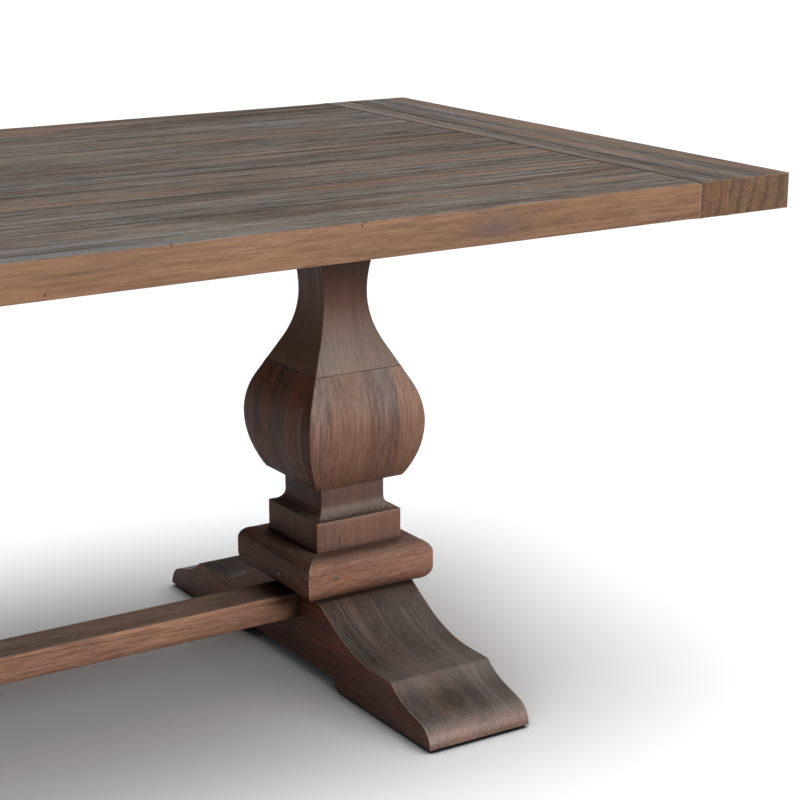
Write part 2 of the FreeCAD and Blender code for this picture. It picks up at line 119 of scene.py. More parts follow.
# Softboxes as (place, power, whether they glint, whether they light the floor alone)
SOFTBOXES = (
    ((2.3, -6.0, 2.8), 610, True, False), ((5.5, 4.5, 2.8), 380, False, False),
    ((-2.6, -2.6, 1.3), 75, False, True))
SOFTBOX_SIZE = (2.6, 1.6)
SOFTBOX_TARGET = Vector((0.5, -0.1, 0.4))
WHITE, COOL_WHITE = (1.0, 1.0, 1.0), (0.90, 0.96, 1.0)

CAMERA_PLACE = (-0.8662, -2.5159, 1.2043)
CAMERA_TURN = (90 - 15.438, -0.068, -32.727)
CAMERA_LENS = 92.69

# Knots as (centre, reach along the grain, girth across it), in metres
PLANK_KNOTS = (((0.582, -0.4825, 0.738), 0.036, 0.013), ((0.10, 0.12, 0.762), 0.05, 0.02))
END_KNOTS = (((0.940, 0.130, 0.762), 0.070, 0.020),)
STRETCHER_KNOTS = (((0.104, -0.0325, 0.101), 0.012, 0.006),)
FOOT_KNOTS = (((0.632, -0.338, 0.056), 0.045, 0.030), ((-0.610, 0.240, 0.080), 0.050, 0.040))

# Chips, pinholes and short cracks as (centre, size)
POST_MARKS = (((PEDESTAL_X - 0.035, -0.0725, 0.2035), (0.0010, 0.003, 0.013)),)
PLANK_MARKS = (
    ((0.393, -0.4825, 0.7615), (0.0045, 0.003, 0.0022)), ((0.389, -0.4825, 0.757), (0.0016, 0.003, 0.0030)),
    ((0.139, -0.4825, 0.7605), (0.0020, 0.003, 0.0035)), ((0.135, -0.4825, 0.762), (0.0035, 0.002, 0.0016)),
    ((-0.014, -0.4825, 0.721), (0.0020, 0.003, 0.0020)),
)

# Bands of painted shade and painted light as (axis across the band, level, reach, share, colour)
# Post: painted shade on the throat under the top, and on the neck under the bulb
POST_PAINTED_SHADE = ((2, 0.61, 0.08, 0.80, (0.038, 0.015, 0.009)), (2, 0.262, 0.03, 0.55, (0.027, 0.021, 0.021)))
# Cheeks: painted shade at the foot of the bulb
CHEEK_PAINTED_SHADE = ((2, 0.2875, 0.09, 0.30, (0.036, 0.018, 0.012)),)
# Feet: painted shade at the back ends, painted light on the front flat, and a painted highlight, with some
# wear, on the front nose
FOOT_PAINTED_LIGHT_AND_SHADE = (
    (1, 0.40, 0.18, 0.60, (0.036, 0.018, 0.013)), (1, -0.262, 0.055, 0.36, (0.135, 0.110, 0.098)),
    (1, -0.392, 0.040, 0.30, (0.190, 0.160, 0.145)))

# Noises of the wood as (cycles per metre along and across the grain, detail, roughness, low and high bound)
NOISES = {
    "patch": (1.8, 6.0, 3.0, 0.55, 0.34, 0.66),
    "band": (1.1, 24.0, 4.0, 0.62, 0.32, 0.68),
    "streak": (4.5, 85.0, 4.0, 0.70, 0.36, 0.64),
    "fine": (15.0, 300.0, 2.0, 0.60, 0.30, 0.70),
    "pore": (22.0, 420.0, 2.0, 0.60, 0.56, 0.70),
    "warmth": (0.7, 17.0, 3.0, 0.60, 0.48, 0.64),
    "smoke": (3.0, 9.0, 4.0, 0.60, 0.50, 0.68),
    "bleach": (1.3, 48.0, 4.0, 0.65, 0.53, 0.66),
    "cracked area": (1.5, 9.0, 2.0, 0.55, 0.46, 0.56),
    "rubbed area": (16.0, 40.0, 3.0, 0.55, 0.36, 0.60),
}

# Turns that bring each grain axis to X, and the shift of the pattern from board to board
GRAIN_TURNS = {0: (0, 0, 0), 1: (0, 0, math.radians(-90)), 2: (0, math.radians(90), 0)}
BOARD_SHIFTS = (3.17, 1.31, 0.77)

# How squarely a surface has to face an axis to count as its side
FACING = (0.45, 0.65)

# Staves of a bulb: their width, and where they start from the pedestal's middle along X and Y
STAVE_WIDTH, STAVE_START_X, STAVE_START_Y = 49 * MM, 44 * MM, 26 * MM


# Sizes and colours that a user would change

def length_property(name, description, default, low, high):
    """A length that a user can change, given in millimetres."""
    return bpy.props.FloatProperty(
        name=name, description=description, default=default * MM, min=low * MM, max=high * MM, unit="LENGTH")


def colour_property(name, description, default):
    """A colour that a user can change."""
    return bpy.props.FloatVectorProperty(
        name=name, description=description, default=default, subtype="COLOR", min=0.0, max=1.0)


class TableSizes(bpy.types.PropertyGroup):
    """Sizes of the worked and worn parts of the table."""
    outer_ease: length_property("Outer arris", "Easing of the arrises round the top", 2.6, 0.5, 6)
    seam_ease: length_property("Seam arris", "Easing on both sides of a seam between boards", 1.2, 0.2, 4)
    base_ease: length_property(
        "Base arris", "Easing of the arrises of the feet and the stretcher", 2.5, 0.5, 6)
    carved_ease: length_property(
        "Carved arris", "Easing of the four long arrises of a baluster", 1.8, 0.5, 6)
    wear_depth: length_property("Wear", "Depth of the hand-worked unevenness", 0.7, 0, 3)
    bulb_width: length_property("Bulb width", "Width of the bulb at its widest level", 196.6, 160, 200)
    throat_width: length_property("Throat width", "Width of the baluster at its throat", 74.2, 50, 100)
    neck_width: length_property("Neck width", "Width of the neck under the bulb", 108.0, 80, 130)
    low_round: length_property("Lower round", "Radius of the base moulding's lower outer edge", 24.0, 5, 30)
    high_round: length_property("Upper round", "Radius of the base moulding's upper outer edge", 20.0, 5, 30)


class TableColours(bpy.types.PropertyGroup):
    """Colours of the finishes."""
    # The top's colours are those of its grey film: wear, with painted sheen
    top_dark: colour_property("Top, dark grain", "Dark streaks of the worn top", (0.022, 0.0185, 0.0165))
    top_light: colour_property("Top, light grain", "Light streaks of the worn top", (0.144, 0.119, 0.098))
    edge_dark: colour_property("Edge, dark grain", "Dark streaks of the top's edges", (0.072, 0.037, 0.021))
    edge_light: colour_property("Edge, light grain", "Light grain of the top's edges", (0.164, 0.088, 0.049))
    edge_warm: colour_property("Edge, warm grain", "Orange grain of the top's edges", (0.198, 0.096, 0.043))
    base_dark: colour_property("Base, dark grain", "Dark streaks of the base", (0.030, 0.014, 0.010))
    base_light: colour_property("Base, light grain", "Light grain of the base", (0.235, 0.110, 0.070))
    base_warm: colour_property("Base, warm grain", "Orange-brown grain of the base", (0.200, 0.088, 0.048))
    worn: colour_property("Worn wood", "Bare wood on rubbed arrises", (0.360, 0.230, 0.150))
    dirt: colour_property("Dirt", "Dark wax in the seams", (0.014, 0.010, 0.008))
    floor: colour_property("Floor", "The studio floor", (0.850, 0.860, 0.866))


# Selecting and shaping

def deselect():
    """Leave nothing selected."""
    if bpy.context.mode != "OBJECT":
        bpy.ops.object.mode_set(mode="OBJECT")
    bpy.ops.object.select_all(action="DESELECT")


def take(piece):
    """Select one piece alone and make it active."""
    deselect()
    piece.select_set(True)
    bpy.context.view_layer.objects.active = piece


def shaping(piece):
    """Open one piece in edit mode."""
    take(piece)
    bpy.ops.object.mode_set(mode="EDIT")


def pick(kind, test):
    """In edit mode, select the edges or faces that pass a test, and return how many."""
    bpy.ops.mesh.select_mode(type=kind)
    bpy.ops.mesh.select_all(action="DESELECT")
    piece = bpy.context.edit_object
    mesh = bmesh.from_edit_mesh(piece.data)
    mesh.normal_update()
    found = [element for element in {"EDGE": mesh.edges, "FACE": mesh.faces}[kind] if test(element)]
    for element in found:
        element.select_set(True)
    mesh.select_flush_mode()
    bmesh.update_edit_mesh(piece.data)
    return len(found)


def near(a, b, within=1e-5):
    """Whether two lengths in metres are the same but for rounding."""
    return abs(a - b) < within


def middle(element):
    """The middle of an edge or a face."""
    return sum((vertex.co for vertex in element.verts), Vector((0, 0, 0))) / len(element.verts)


def along(edge, axis):
    """Whether an edge runs along an axis, 0 to 2."""
    run = (edge.verts[1].co - edge.verts[0].co).normalized()
    return abs(run[axis]) > 0.999


def at(edge, axis, *levels):
    """Whether the middle of an edge lies at one of some levels of an axis."""
    return any(near(middle(edge)[axis], level) for level in levels)


def add_block(name, low, high):
    """A block between two corners in metres, with its place in its mesh."""
    deselect()
    low, high = Vector(low), Vector(high)
    bpy.ops.mesh.primitive_cube_add(size=1, location=(low + high) / 2, scale=high - low)
    bpy.ops.object.transform_apply(location=True, rotation=True, scale=True)
    piece = bpy.context.active_object
    piece.name = piece.data.name = name
    return piece


def add_bar(name, radius, sides, start, end):
    """A round bar between two points in metres, with its place in its mesh."""
    deselect()
    start, end = Vector(start), Vector(end)
    run = end - start
    turn = Vector((0, 0, 1)).rotation_difference(run).to_euler()
    bpy.ops.mesh.primitive_cylinder_add(
        vertices=sides, radius=radius, depth=run.length, location=(start + end) / 2, rotation=turn)
    bpy.ops.object.transform_apply(location=True, rotation=True, scale=True)
    piece = bpy.context.active_object
    piece.name = name
    return piece


def divide(axis, cuts):
    """In edit mode, divide the edges that run along an axis, so that the faces stay four-sided."""
    pick("EDGE", lambda edge: along(edge, axis))
    bpy.ops.mesh.subdivide(number_cuts=cuts)


def bevel(test, width, segments):
    """In edit mode, round the edges that pass a test."""
    if pick("EDGE", test):
        bpy.ops.mesh.bevel(offset=width, segments=segments, affect="EDGES", clamp_overlap=True)


def saw(point, normal):
    """In edit mode, cut the whole piece at a plane, close it and drop the side that the normal points to."""
    bpy.ops.mesh.select_mode(type="VERT")
    bpy.ops.mesh.select_all(action="SELECT")
    bpy.ops.mesh.bisect(
        plane_co=point, plane_no=normal, use_fill=True, clear_outer=True, clear_inner=False,
        threshold=1e-6)


def extend(test, step, size, about, lift=(0, 0, 0)):
    """In edit mode, extrude the end faces by a step, size the new end about a point, then lift it."""
    pick("FACE", test)
    bpy.ops.mesh.extrude_region_move(TRANSFORM_OT_translate={"value": step})
    if any(abs(part - 1) > 1e-7 for part in size):
        bpy.ops.transform.resize(value=size, center_override=about)
    if any(abs(part) > 1e-9 for part in lift):
        bpy.ops.transform.translate(value=lift)


def draw_out(stations):
    """In edit mode, draw both Y ends of a block out through (y, top, underside) stations."""
    for side in (-1, 1):
        for (y, top, under), (next_y, next_top, next_under) in zip(stations, stations[1:]):
            extend(lambda face: face.normal.y * side > 0.99 and near(middle(face).y, side * y, 2e-6),
                   (0, side * (next_y - y), 0), (1, 1, (next_top - next_under) / (top - under)),
                   (0, 0, under), (0, 0, next_under - under))


def side_arris(high_x, borders):
    """A test for the long edges of a piece's two X sides that border a face which passes a test."""
    def test(edge):
        at_side = all(near(abs(vertex.co.x - PEDESTAL_X), high_x - PEDESTAL_X) for vertex in edge.verts)
        return (at_side and not along(edge, 0) and not along(edge, 2)
                and any(borders(face) for face in edge.link_faces))
    return test


def done_shaping():
    """Point all faces outwards and leave edit mode."""
    bpy.ops.mesh.select_all(action="SELECT")
    bpy.ops.mesh.normals_make_consistent(inside=False)
    bpy.ops.object.mode_set(mode="OBJECT")


def bore(piece, sink, *runs):
    """Cut a round sink out of a piece along each (start, end) run."""
    for start, end in runs:
        cutter = add_bar("sink", *sink, start, end)
        take(piece)
        cut = piece.modifiers.new("bore", "BOOLEAN")
        cut.operation = "DIFFERENCE"
        cut.solver = "EXACT"
        cut.object = cutter
        bpy.ops.object.modifier_apply(modifier=cut.name)
        bpy.data.objects.remove(cutter)


def wear(piece, depth, grain, test, seed, size=0.05, stretch=6.0):
    """Sink the vertices that pass a test by an uneven depth, in hollows drawn out along the grain."""
    group = piece.vertex_groups.new(name="worn")
    chosen = [vertex.index for vertex in piece.data.vertices if test(vertex.co)]
    group.add(chosen, 1.0, "REPLACE")
    deselect()
    bpy.ops.object.empty_add(location=(seed * 1.37, seed * 0.61, seed * 0.83))
    holder = bpy.context.active_object
    holder.scale = [stretch if axis == grain else 1.0 for axis in range(3)]
    bpy.context.view_layer.update()
    hollows = bpy.data.textures.new("hollows", "CLOUDS")
    hollows.noise_scale = size
    hollows.noise_depth = 3
    take(piece)
    sink = piece.modifiers.new("wear", "DISPLACE")
    sink.texture = hollows
    sink.texture_coords = "OBJECT"
    sink.texture_coords_object = holder
    sink.mid_level = 1.0
    sink.strength = depth
    sink.vertex_group = group.name
    bpy.ops.object.modifier_apply(modifier=sink.name)
    piece.vertex_groups.clear()
    bpy.data.textures.remove(hollows)
    bpy.data.objects.remove(holder)


def heart_of(piece, board):
    """Where the heart of the tree was for one board: beside an end board, and below any other."""
    corners = [Vector(corner) for corner in piece.bound_box]
    centre = sum(corners, Vector((0, 0, 0))) / 8
    if piece.name.startswith("end_"):
        return [centre.x - math.copysign(0.14, centre.x), centre.y, centre.z + 0.012]
    off = 0.06 * math.sin(board * 2.4)
    return [centre.x + off, centre.y + 0.8 * off, centre.z - 0.075 - 0.03 * math.sin(board * 1.7)]


def mark_board(piece, board):
    """Note a piece's board and the heart of its tree on its mesh, where its wood reads them."""
    heart = heart_of(piece, board)
    for name, kind, key, values in (
            ("board", "FLOAT", "value", [board]), ("heart", "FLOAT_VECTOR", "vector", heart)):
        attribute = piece.data.attributes.get(name) or piece.data.attributes.new(name, kind, "POINT")
        attribute.data.foreach_set(key, values * len(piece.data.vertices))


def finish_piece(piece, finish, board, node=None):
    """Smooth a piece, give it its finish and its place in the frame."""
    take(piece)
    bpy.ops.object.shade_smooth_by_angle(angle=SMOOTH_ANGLE)
    mark_board(piece, board)
    piece.data.materials.clear()
    piece.data.materials.append(table_finish(finish))
    if node:
        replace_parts(piece, node)
    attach(piece, "root")


def copy_piece(piece, name):
    """A copy with its own mesh."""
    take(piece)
    bpy.ops.object.duplicate(linked=False)
    copy = bpy.context.active_object
    copy.name = copy.data.name = name
    return copy


def left_name(name):
    """The name of a right-hand piece's or node's twin, where the front and the back change places."""
    name = name.replace("right", "left")
    return name.replace("front", "back") if "front" in name else name.replace("back", "front")


def finish_pair(piece, finish, boards, node=None):
    """Finish a right-hand piece and its left-hand twin, a copy turned half round the table's middle."""
    finish_piece(piece, finish, boards[0], node)
    twin = copy_piece(piece, left_name(piece.name))
    twin.parent = None
    bpy.ops.object.mode_set(mode="EDIT")
    bpy.ops.mesh.select_all(action="SELECT")
    bpy.ops.transform.rotate(value=math.pi, orient_axis="Z", center_override=(0, 0, 0))
    bpy.ops.object.mode_set(mode="OBJECT")
    mark_board(twin, boards[1])
    if node:
        del twin["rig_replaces"]
        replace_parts(twin, left_name(node))
    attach(twin, "root")


# Materials

class Value:
    """A node's output. Sums of single numbers can be written with it."""

    def __init__(self, make, socket):
        self.make, self.socket = make, socket

    def __add__(self, other):
        return self.make.math("ADD", self, other)

    def __sub__(self, other):
        return self.make.math("SUBTRACT", self, other)

    def __rsub__(self, other):
        return self.make.math("SUBTRACT", other, self)

    def __mul__(self, other):
        return self.make.math("MULTIPLY", self, other)

    def __truediv__(self, other):
        return self.make.math("DIVIDE", self, other)

    def __abs__(self):
        return self.make.math("ABSOLUTE", self)


def opaque(colour, gain=1.0):
    """A colour with its alpha, made lighter or darker by a gain."""
    return tuple(part * gain for part in colour[:3]) + (1.0,)


class Nodes:
    """A tree of nodes, and ways to add to it."""

    def __init__(self, tree):
        self.tree = tree

    def feed(self, socket, value):
        """Link a value to a socket, or set the socket's own number, vector or colour."""
        if isinstance(value, Value):
            self.tree.links.new(value.socket, socket)
        elif value is not None:
            socket.default_value = value

    def value(self, kind, output, sockets=None, **settings):
        """One output of a new node with these sockets and settings."""
        node = self.tree.nodes.new(kind)
        for key, setting in settings.items():
            setattr(node, key, setting)
        for key, part in (sockets or {}).items():
            self.feed(node.inputs[key], part)
        return Value(self, node.outputs[output])

    def math(self, operation, a, b=None, clamp=False):
        """The result of a Math node."""
        return self.value("ShaderNodeMath", 0, {0: a, 1: b}, operation=operation, use_clamp=clamp)

    def vector(self, operation, a, b=None, output="Vector"):
        """The result of a Vector Math node."""
        return self.value("ShaderNodeVectorMath", output, {0: a, 1: b}, operation=operation)

    def part(self, vector, axis):
        """One part of a vector, 0 to 2."""
        return self.value("ShaderNodeSeparateXYZ", axis, {0: vector})

    def joined(self, *parts):
        """A vector made of three parts."""
        return self.value("ShaderNodeCombineXYZ", 0, dict(enumerate(parts)))

    def noise(self, place, scale, detail=3.0, rough=0.55, output="Fac"):
        """The value of a noise that is stretched by a scale per axis, in cycles per metre."""
        place = self.vector("MULTIPLY", place, scale)
        sockets = {"Vector": place, "Scale": 1.0, "Detail": detail, "Roughness": rough}
        return self.value("ShaderNodeTexNoise", output, sockets)

    def span(self, value, low, high, to_low=0.0, to_high=1.0):
        """A value between two bounds, brought to a new range."""
        sockets = {"Value": value, 1: low, 2: high, 3: to_low, 4: to_high}
        return self.value("ShaderNodeMapRange", 0, sockets, clamp=True)

    def mix(self, share, a, b, blend="MIX"):
        """Two colours mixed by a share."""
        a, b = (opaque(colour) if isinstance(colour, tuple) else colour for colour in (a, b))
        return self.value("ShaderNodeMix", 2, {0: share, 6: a, 7: b},
                          data_type="RGBA", blend_type=blend, clamp_factor=True)

    def openness(self, reach, samples):
        """How open the surface is within a reach in metres, from 0 in a deep corner to 1."""
        return self.value("ShaderNodeAmbientOcclusion", "AO", {"Distance": reach}, samples=samples)


class Finish(Nodes):
    """The node layout of one material."""

    def __init__(self, name):
        self.material = bpy.data.materials.new(name)
        self.material.use_nodes = True
        super().__init__(self.material.node_tree)
        self.tree.nodes.clear()
        output = self.tree.nodes.new("ShaderNodeOutputMaterial")
        self.shader = self.tree.nodes.new("ShaderNodeBsdfPrincipled")
        self.tree.links.new(self.shader.outputs[0], output.inputs[0])
        self.place = self.value("ShaderNodeTexCoord", "Object")

    def coat(self, **sockets):
        """Feed the shader's sockets, named with underscores for spaces."""
        for name, value in sockets.items():
            self.feed(self.shader.inputs[name.replace("_", " ")], value)

    def relief(self, height, strength, depth):
        """A bumped normal, with its depth in metres."""
        return self.value("ShaderNodeBump", 0, {"Height": height, "Strength": strength, "Distance": depth})


class Wood(Finish):
    """Old stained wood whose grain runs along one axis, 0 to 2."""

    def __init__(self, name, grain, look):
        super().__init__(name)
        self.grain, self.look = grain, look
        self.face = self.value("ShaderNodeNewGeometry", "True Normal")
        self.normal = self.value("ShaderNodeNewGeometry", "Normal")
        self.upward = self.part(self.normal, 2)
        self.sideways = self.span(abs(self.part(self.face, 0)), *FACING)
        self.end = self.span(abs(self.part(self.face, grain)), 0.6, 0.9)
        self.lay_fibres()
        self.set_tone()
        colour = self.greyed_and_sheened(self.stained())
        if look.staves:
            colour = self.staved(colour)
        # Painted light and shade on the faces that look along X: darker on the post and cheeks, redder on
        # the feet
        if look.side_tint:
            colour = self.mix(self.sideways, colour, look.side_tint, "MULTIPLY")
        colour = self.aged_and_shaded(self.rubbed(self.cracked(self.knotted(colour))))
        rough = self.span(self.streak, 0.0, 1.0, look.rough - 0.07, look.rough + 0.08) + self.pits * 0.12
        height = self.streak * 0.30 - self.pits * 0.30 + self.fine * 0.25 - self.crack * 0.8
        self.coat(Base_Color=colour, Roughness=rough, Specular_IOR_Level=look.gloss,
                  Normal=self.relief(height, look.relief, 1 * MM))

    def layer(self, name, place):
        """One of the wood's noises, between its bounds."""
        lengthways, across, detail, rough, low, high = NOISES[name]
        return self.span(self.noise(place, (lengthways, across, across), detail, rough), low, high)

    def distance(self, centre, size):
        """How far the surface is from a point, counted in sizes along each axis."""
        gap = self.vector("DIVIDE", self.vector("SUBTRACT", self.place, centre), size)
        return self.vector("LENGTH", gap, output="Value")

    def follow_surface(self, local):
        """A place drawn towards the middle along the normal, so that streaks follow a carved face."""
        if not self.look.follow:
            return local
        size = [1.0, 1.0, 1.0]
        for axis in {0, 1, 2} - {self.grain}:
            size[axis] = self.span(abs(self.part(self.face, axis)), *FACING, 1.0, 1.0 - self.look.follow)
        return self.vector("MULTIPLY", local, self.joined(*size))

    def lay_fibres(self):
        """Find the place along and across the fibres, and the growth rings."""
        look, turn = self.look, {"Rotation": GRAIN_TURNS[self.grain]}
        self.board = self.value("ShaderNodeAttribute", "Fac", attribute_name="board")
        heart = self.value("ShaderNodeAttribute", "Vector", attribute_name="heart")
        local = self.vector("SUBTRACT", self.place, heart)
        drawn = self.vector("ADD", self.follow_surface(local), heart)
        aligned = self.value("ShaderNodeMapping", 0, dict(turn, Vector=drawn))
        self.spot = self.vector("ADD", aligned, self.joined(*(self.board * shift for shift in BOARD_SHIFTS)))

        # Knots push the fibres aside, and the fibres wander a little along the board
        self.knot = 0.0
        for centre, reach, girth in look.knots:
            gap = self.distance(centre, [reach if axis == self.grain else girth for axis in range(3)])
            self.knot = self.math("EXPONENT", gap * gap * -1.0) + self.knot
        aside = self.joined(0.0, self.knot * look.push, self.knot * look.push)
        wander = self.noise(self.spot, (1.6, 5.0, 5.0), 2.0, 0.5, "Color")
        wander = self.vector("SUBTRACT", wander, (0.5, 0.5, 0.5))
        wander = self.vector("MULTIPLY", wander, (0.0, look.wander, look.wander))
        self.fibre = self.vector("ADD", self.vector("ADD", self.spot, wander), aside)

        # Growth rings round the heart of the tree, which lies outside the board
        rings = self.value("ShaderNodeMapping", 0, dict(turn, Vector=local))
        rings = self.vector("ADD", self.vector("ADD", rings, wander), aside)
        lean = (self.noise(self.spot, (0.9, 2.0, 2.0), 1.0) - 0.5) * look.sway
        across = self.part(rings, 1) + lean
        deep = self.part(rings, 2) + lean * 0.6
        radius = self.math("SQRT", across * across + deep * deep)
        radius = self.noise(local, (30.0, 30.0, 9.0)) * 0.045 + radius
        self.ring = self.span(self.math("SINE", radius * (look.rings * 2 * math.pi)), 0.1, 1.0)

    def set_tone(self):
        """Set how light the grain is, from whole boards down to single fibres."""
        look = self.look
        whole = self.value("ShaderNodeTexWhiteNoise", "Value", {"W": self.board}, noise_dimensions="1D")
        self.patch = self.layer("patch", self.spot)
        self.streak = self.layer("streak", self.fibre)
        self.fine = self.layer("fine", self.fibre)
        self.warmth = self.layer("warmth", self.fibre)
        tone = (whole - 0.5) * look.board + 0.5
        for layer, share in ((self.patch, look.patch), (self.layer("band", self.fibre), look.band),
                             (self.streak, look.streak), (self.fine, look.fine)):
            tone = (layer - 0.5) * share + tone
        uneven = self.span(self.noise(self.place, (45.0, 45.0, 45.0), 2.0), 0.35, 0.65, 0.35, 1.5)
        tone = tone - self.ring * (self.end * uneven * look.end_ring + look.ring)
        self.tone = self.math("SUBTRACT", tone, self.knot * 0.25, clamp=True)

    def stained(self):
        """The colour of the stained grain, and of sawn ends."""
        look = self.look
        colour = self.mix(self.tone, look.dark, look.light)
        colour = self.mix(self.warmth * look.warmth, colour, look.warm)
        colour = self.mix(self.layer("smoke", self.spot) * look.smoke, colour, opaque(look.dark, 0.9))
        if look.end_light:
            sawn = self.span(self.tone, 0.0, 1.0, 0.06, 0.55)
            colour = self.mix(self.end, colour, self.mix(sawn, opaque(look.dark, 0.55), look.end_light))
        return colour

    def greyed_and_sheened(self, colour):
        """The colour with a grey film on faces that look up: partly wear, partly painted sheen."""
        look = self.look
        tilt = (self.patch - 0.5) * 0.15 + self.upward
        self.film = self.span(tilt, look.film_from, look.film_from + 0.55)
        grey = self.mix(self.tone, look.film_dark, look.film_light)
        grey = self.mix(self.warmth * look.film_warmth, grey, look.film_warm)
        grey = self.mix(self.layer("bleach", self.fibre) * look.bleaching, grey, look.bleach)
        share = self.film * self.span(self.upward, 0.80, 0.95, look.film, look.film * look.ledge)
        # Less film and painted sheen on faces that look along X, which the light misses
        share = share * self.span(self.sideways, 0.0, 1.0, 1.0, look.side_film)
        return self.mix(share, colour, grey)

    def staved(self, colour):
        """The colour with a tone of its own for each stave of a bulb, and a dark line at each joint."""
        x, y = self.part(self.place, 0), self.part(self.place, 1)
        on_end = self.math("GREATER_THAN", abs(self.part(self.face, 0)), abs(self.part(self.face, 1)))
        run = on_end * (y * self.math("SIGN", x) + STAVE_START_Y)
        run = (1.0 - on_end) * (abs(x) - PEDESTAL_X + STAVE_START_X) + run
        step = run / STAVE_WIDTH
        odd = self.math("SINE", self.math("FLOOR", step) * 2.6 + on_end * 1.5 + 2.9)
        colour = self.mix(self.span(odd, 0.0, 1.0) * 0.45, colour, opaque(self.look.warm, 1.2))
        colour = self.mix(self.span(odd, 0.0, -1.0) * 0.28, colour, opaque(self.look.dark, 1.6))
        edge = abs(self.math("FRACT", step) - 0.5)
        return self.mix(self.span(edge, 0.488, 0.497) * 0.4, colour, self.look.dirt)

    def knotted(self, colour):
        """The colour with its knots, and painted shade where the surface looks down."""
        look = self.look
        shade = self.math("MULTIPLY", self.knot, self.span(self.streak, 0.0, 1.0, 1.3, 0.6), clamp=True)
        colour = self.mix(shade, colour, look.knot)
        # Painted shade on faces that look down, with its share set by under
        if look.under:
            downward_shade = self.span(self.upward, 0.15, -0.60, 0.0, look.under)
            colour = self.mix(downward_shade, colour, look.under_colour)
        return colour

    def cracked(self, colour):
        """The colour with cracks along the grain, in places, and short dark pores."""
        look = self.look
        contour = abs(self.noise(self.fibre, look.crack_size, 1.0, 0.4) - 0.5)
        crack = self.span(contour, look.crack_width, look.crack_width * 0.3)
        crack = crack * self.layer("cracked area", self.spot)
        crack = crack * self.math("SUBTRACT", 1.0 - self.end, self.knot, clamp=True)
        open_share = self.span(self.film, 0.0, 0.5, look.side_cracks, 1.0)
        self.crack = crack * open_share
        colour = self.mix(self.crack * look.cracks, colour, opaque(look.dark, 0.25))
        pits = self.layer("pore", self.fibre) * self.span(self.patch, 0.0, 0.8, 0.35, 1.0)
        self.pits = pits * open_share
        return self.mix(self.pits * look.pores, colour, opaque(look.dark, 0.4))

    def seam_distance(self):
        """The distance in metres to the nearest seam, each an (axis, distance from the middle) plane."""
        nearest = 1.0
        for axis, where in self.look.seams:
            gap = abs(abs(self.part(self.place, axis)) - where)
            nearest = self.math("MINIMUM", gap, nearest)
        return nearest

    def rubbed(self, colour):
        """The colour with arrises rubbed to lighter wood, except at a seam, where wax and dirt gather."""
        look = self.look
        bent = self.value("ShaderNodeBevel", 0, {"Radius": 3 * MM}, samples=4)
        rub = self.span(self.vector("DOT_PRODUCT", bent, self.normal, "Value"), 0.98, 0.86)
        rub = rub * self.layer("rubbed area", self.spot)
        seam = self.seam_distance()
        at_seam = self.span(seam, 6 * MM, 3 * MM)
        if look.seam_up:
            at_seam = at_seam * self.span(self.upward, 0.3, 0.6)
        colour = self.mix(rub * (1.0 - at_seam) * look.rub, colour, look.worn)
        width = self.noise(self.spot, (9.0, 60.0, 60.0), 3.0, 0.6)
        width = self.span(width, 0.35, 0.62, look.seam * 0.25, look.seam)
        line = self.math("SUBTRACT", 1.0, self.math("DIVIDE", seam, width), clamp=True)
        line = self.math("MULTIPLY", line, 2.0, clamp=True)
        return self.mix(line * at_seam, colour, look.dirt)

    def aged_and_shaded(self, colour):
        """The colour with its bands of painted shade and painted light, painted shade in the recesses, dirt
        and painted shade in corners, and chips.
        """
        look = self.look
        # Painted shade and painted light in bands across one axis
        for axis, level, reach, share, tint in look.bands:
            gap = abs(self.part(self.place, axis) - level)
            colour = self.mix(self.span(gap, reach, 0.0, 0.0, share), colour, tint)
        # Painted shade where the surface is closed in within a wide reach
        if look.grime:
            recess = self.openness(look.grime_reach, 6)
            colour = self.mix(self.span(recess, 0.88, 0.35, 0.0, look.grime), colour, look.grime_colour)
        # Darker within 8 mm of a corner: dirt in the crevices, with painted shade
        colour = self.mix(self.span(self.openness(8 * MM, 4), 0.72, 0.30), colour, look.dirt)
        for centre, size in look.marks:
            inside = self.span(self.distance(centre, size), 1.0, 0.6)
            colour = self.mix(inside * 0.85, colour, opaque(look.dark, 0.4))
        return colour


def steel(name):
    """Dull zinc-plated steel."""
    make = Finish(name)
    haze = make.noise(make.place, (140.0, 140.0, 140.0), 4.0, 0.6)
    make.coat(Base_Color=make.mix(haze, (0.36, 0.35, 0.33), (0.56, 0.55, 0.52)), Metallic=1.0,
              Roughness=make.span(haze, 0.3, 0.7, 0.32, 0.55), Normal=make.relief(haze, 0.2, 0.2 * MM))
    return make


def pad_plastic(name):
    """Grey-black moulded plastic of the glide pads."""
    make = Finish(name)
    speckle = make.noise(make.place, (900.0, 900.0, 900.0), 2.0, 0.5)
    make.coat(Base_Color=make.mix(speckle, (0.020, 0.020, 0.020), (0.045, 0.044, 0.042)),
              Roughness=make.span(speckle, 0.3, 0.7, 0.45, 0.65), Normal=make.relief(speckle, 0.3, 0.2 * MM))
    return make


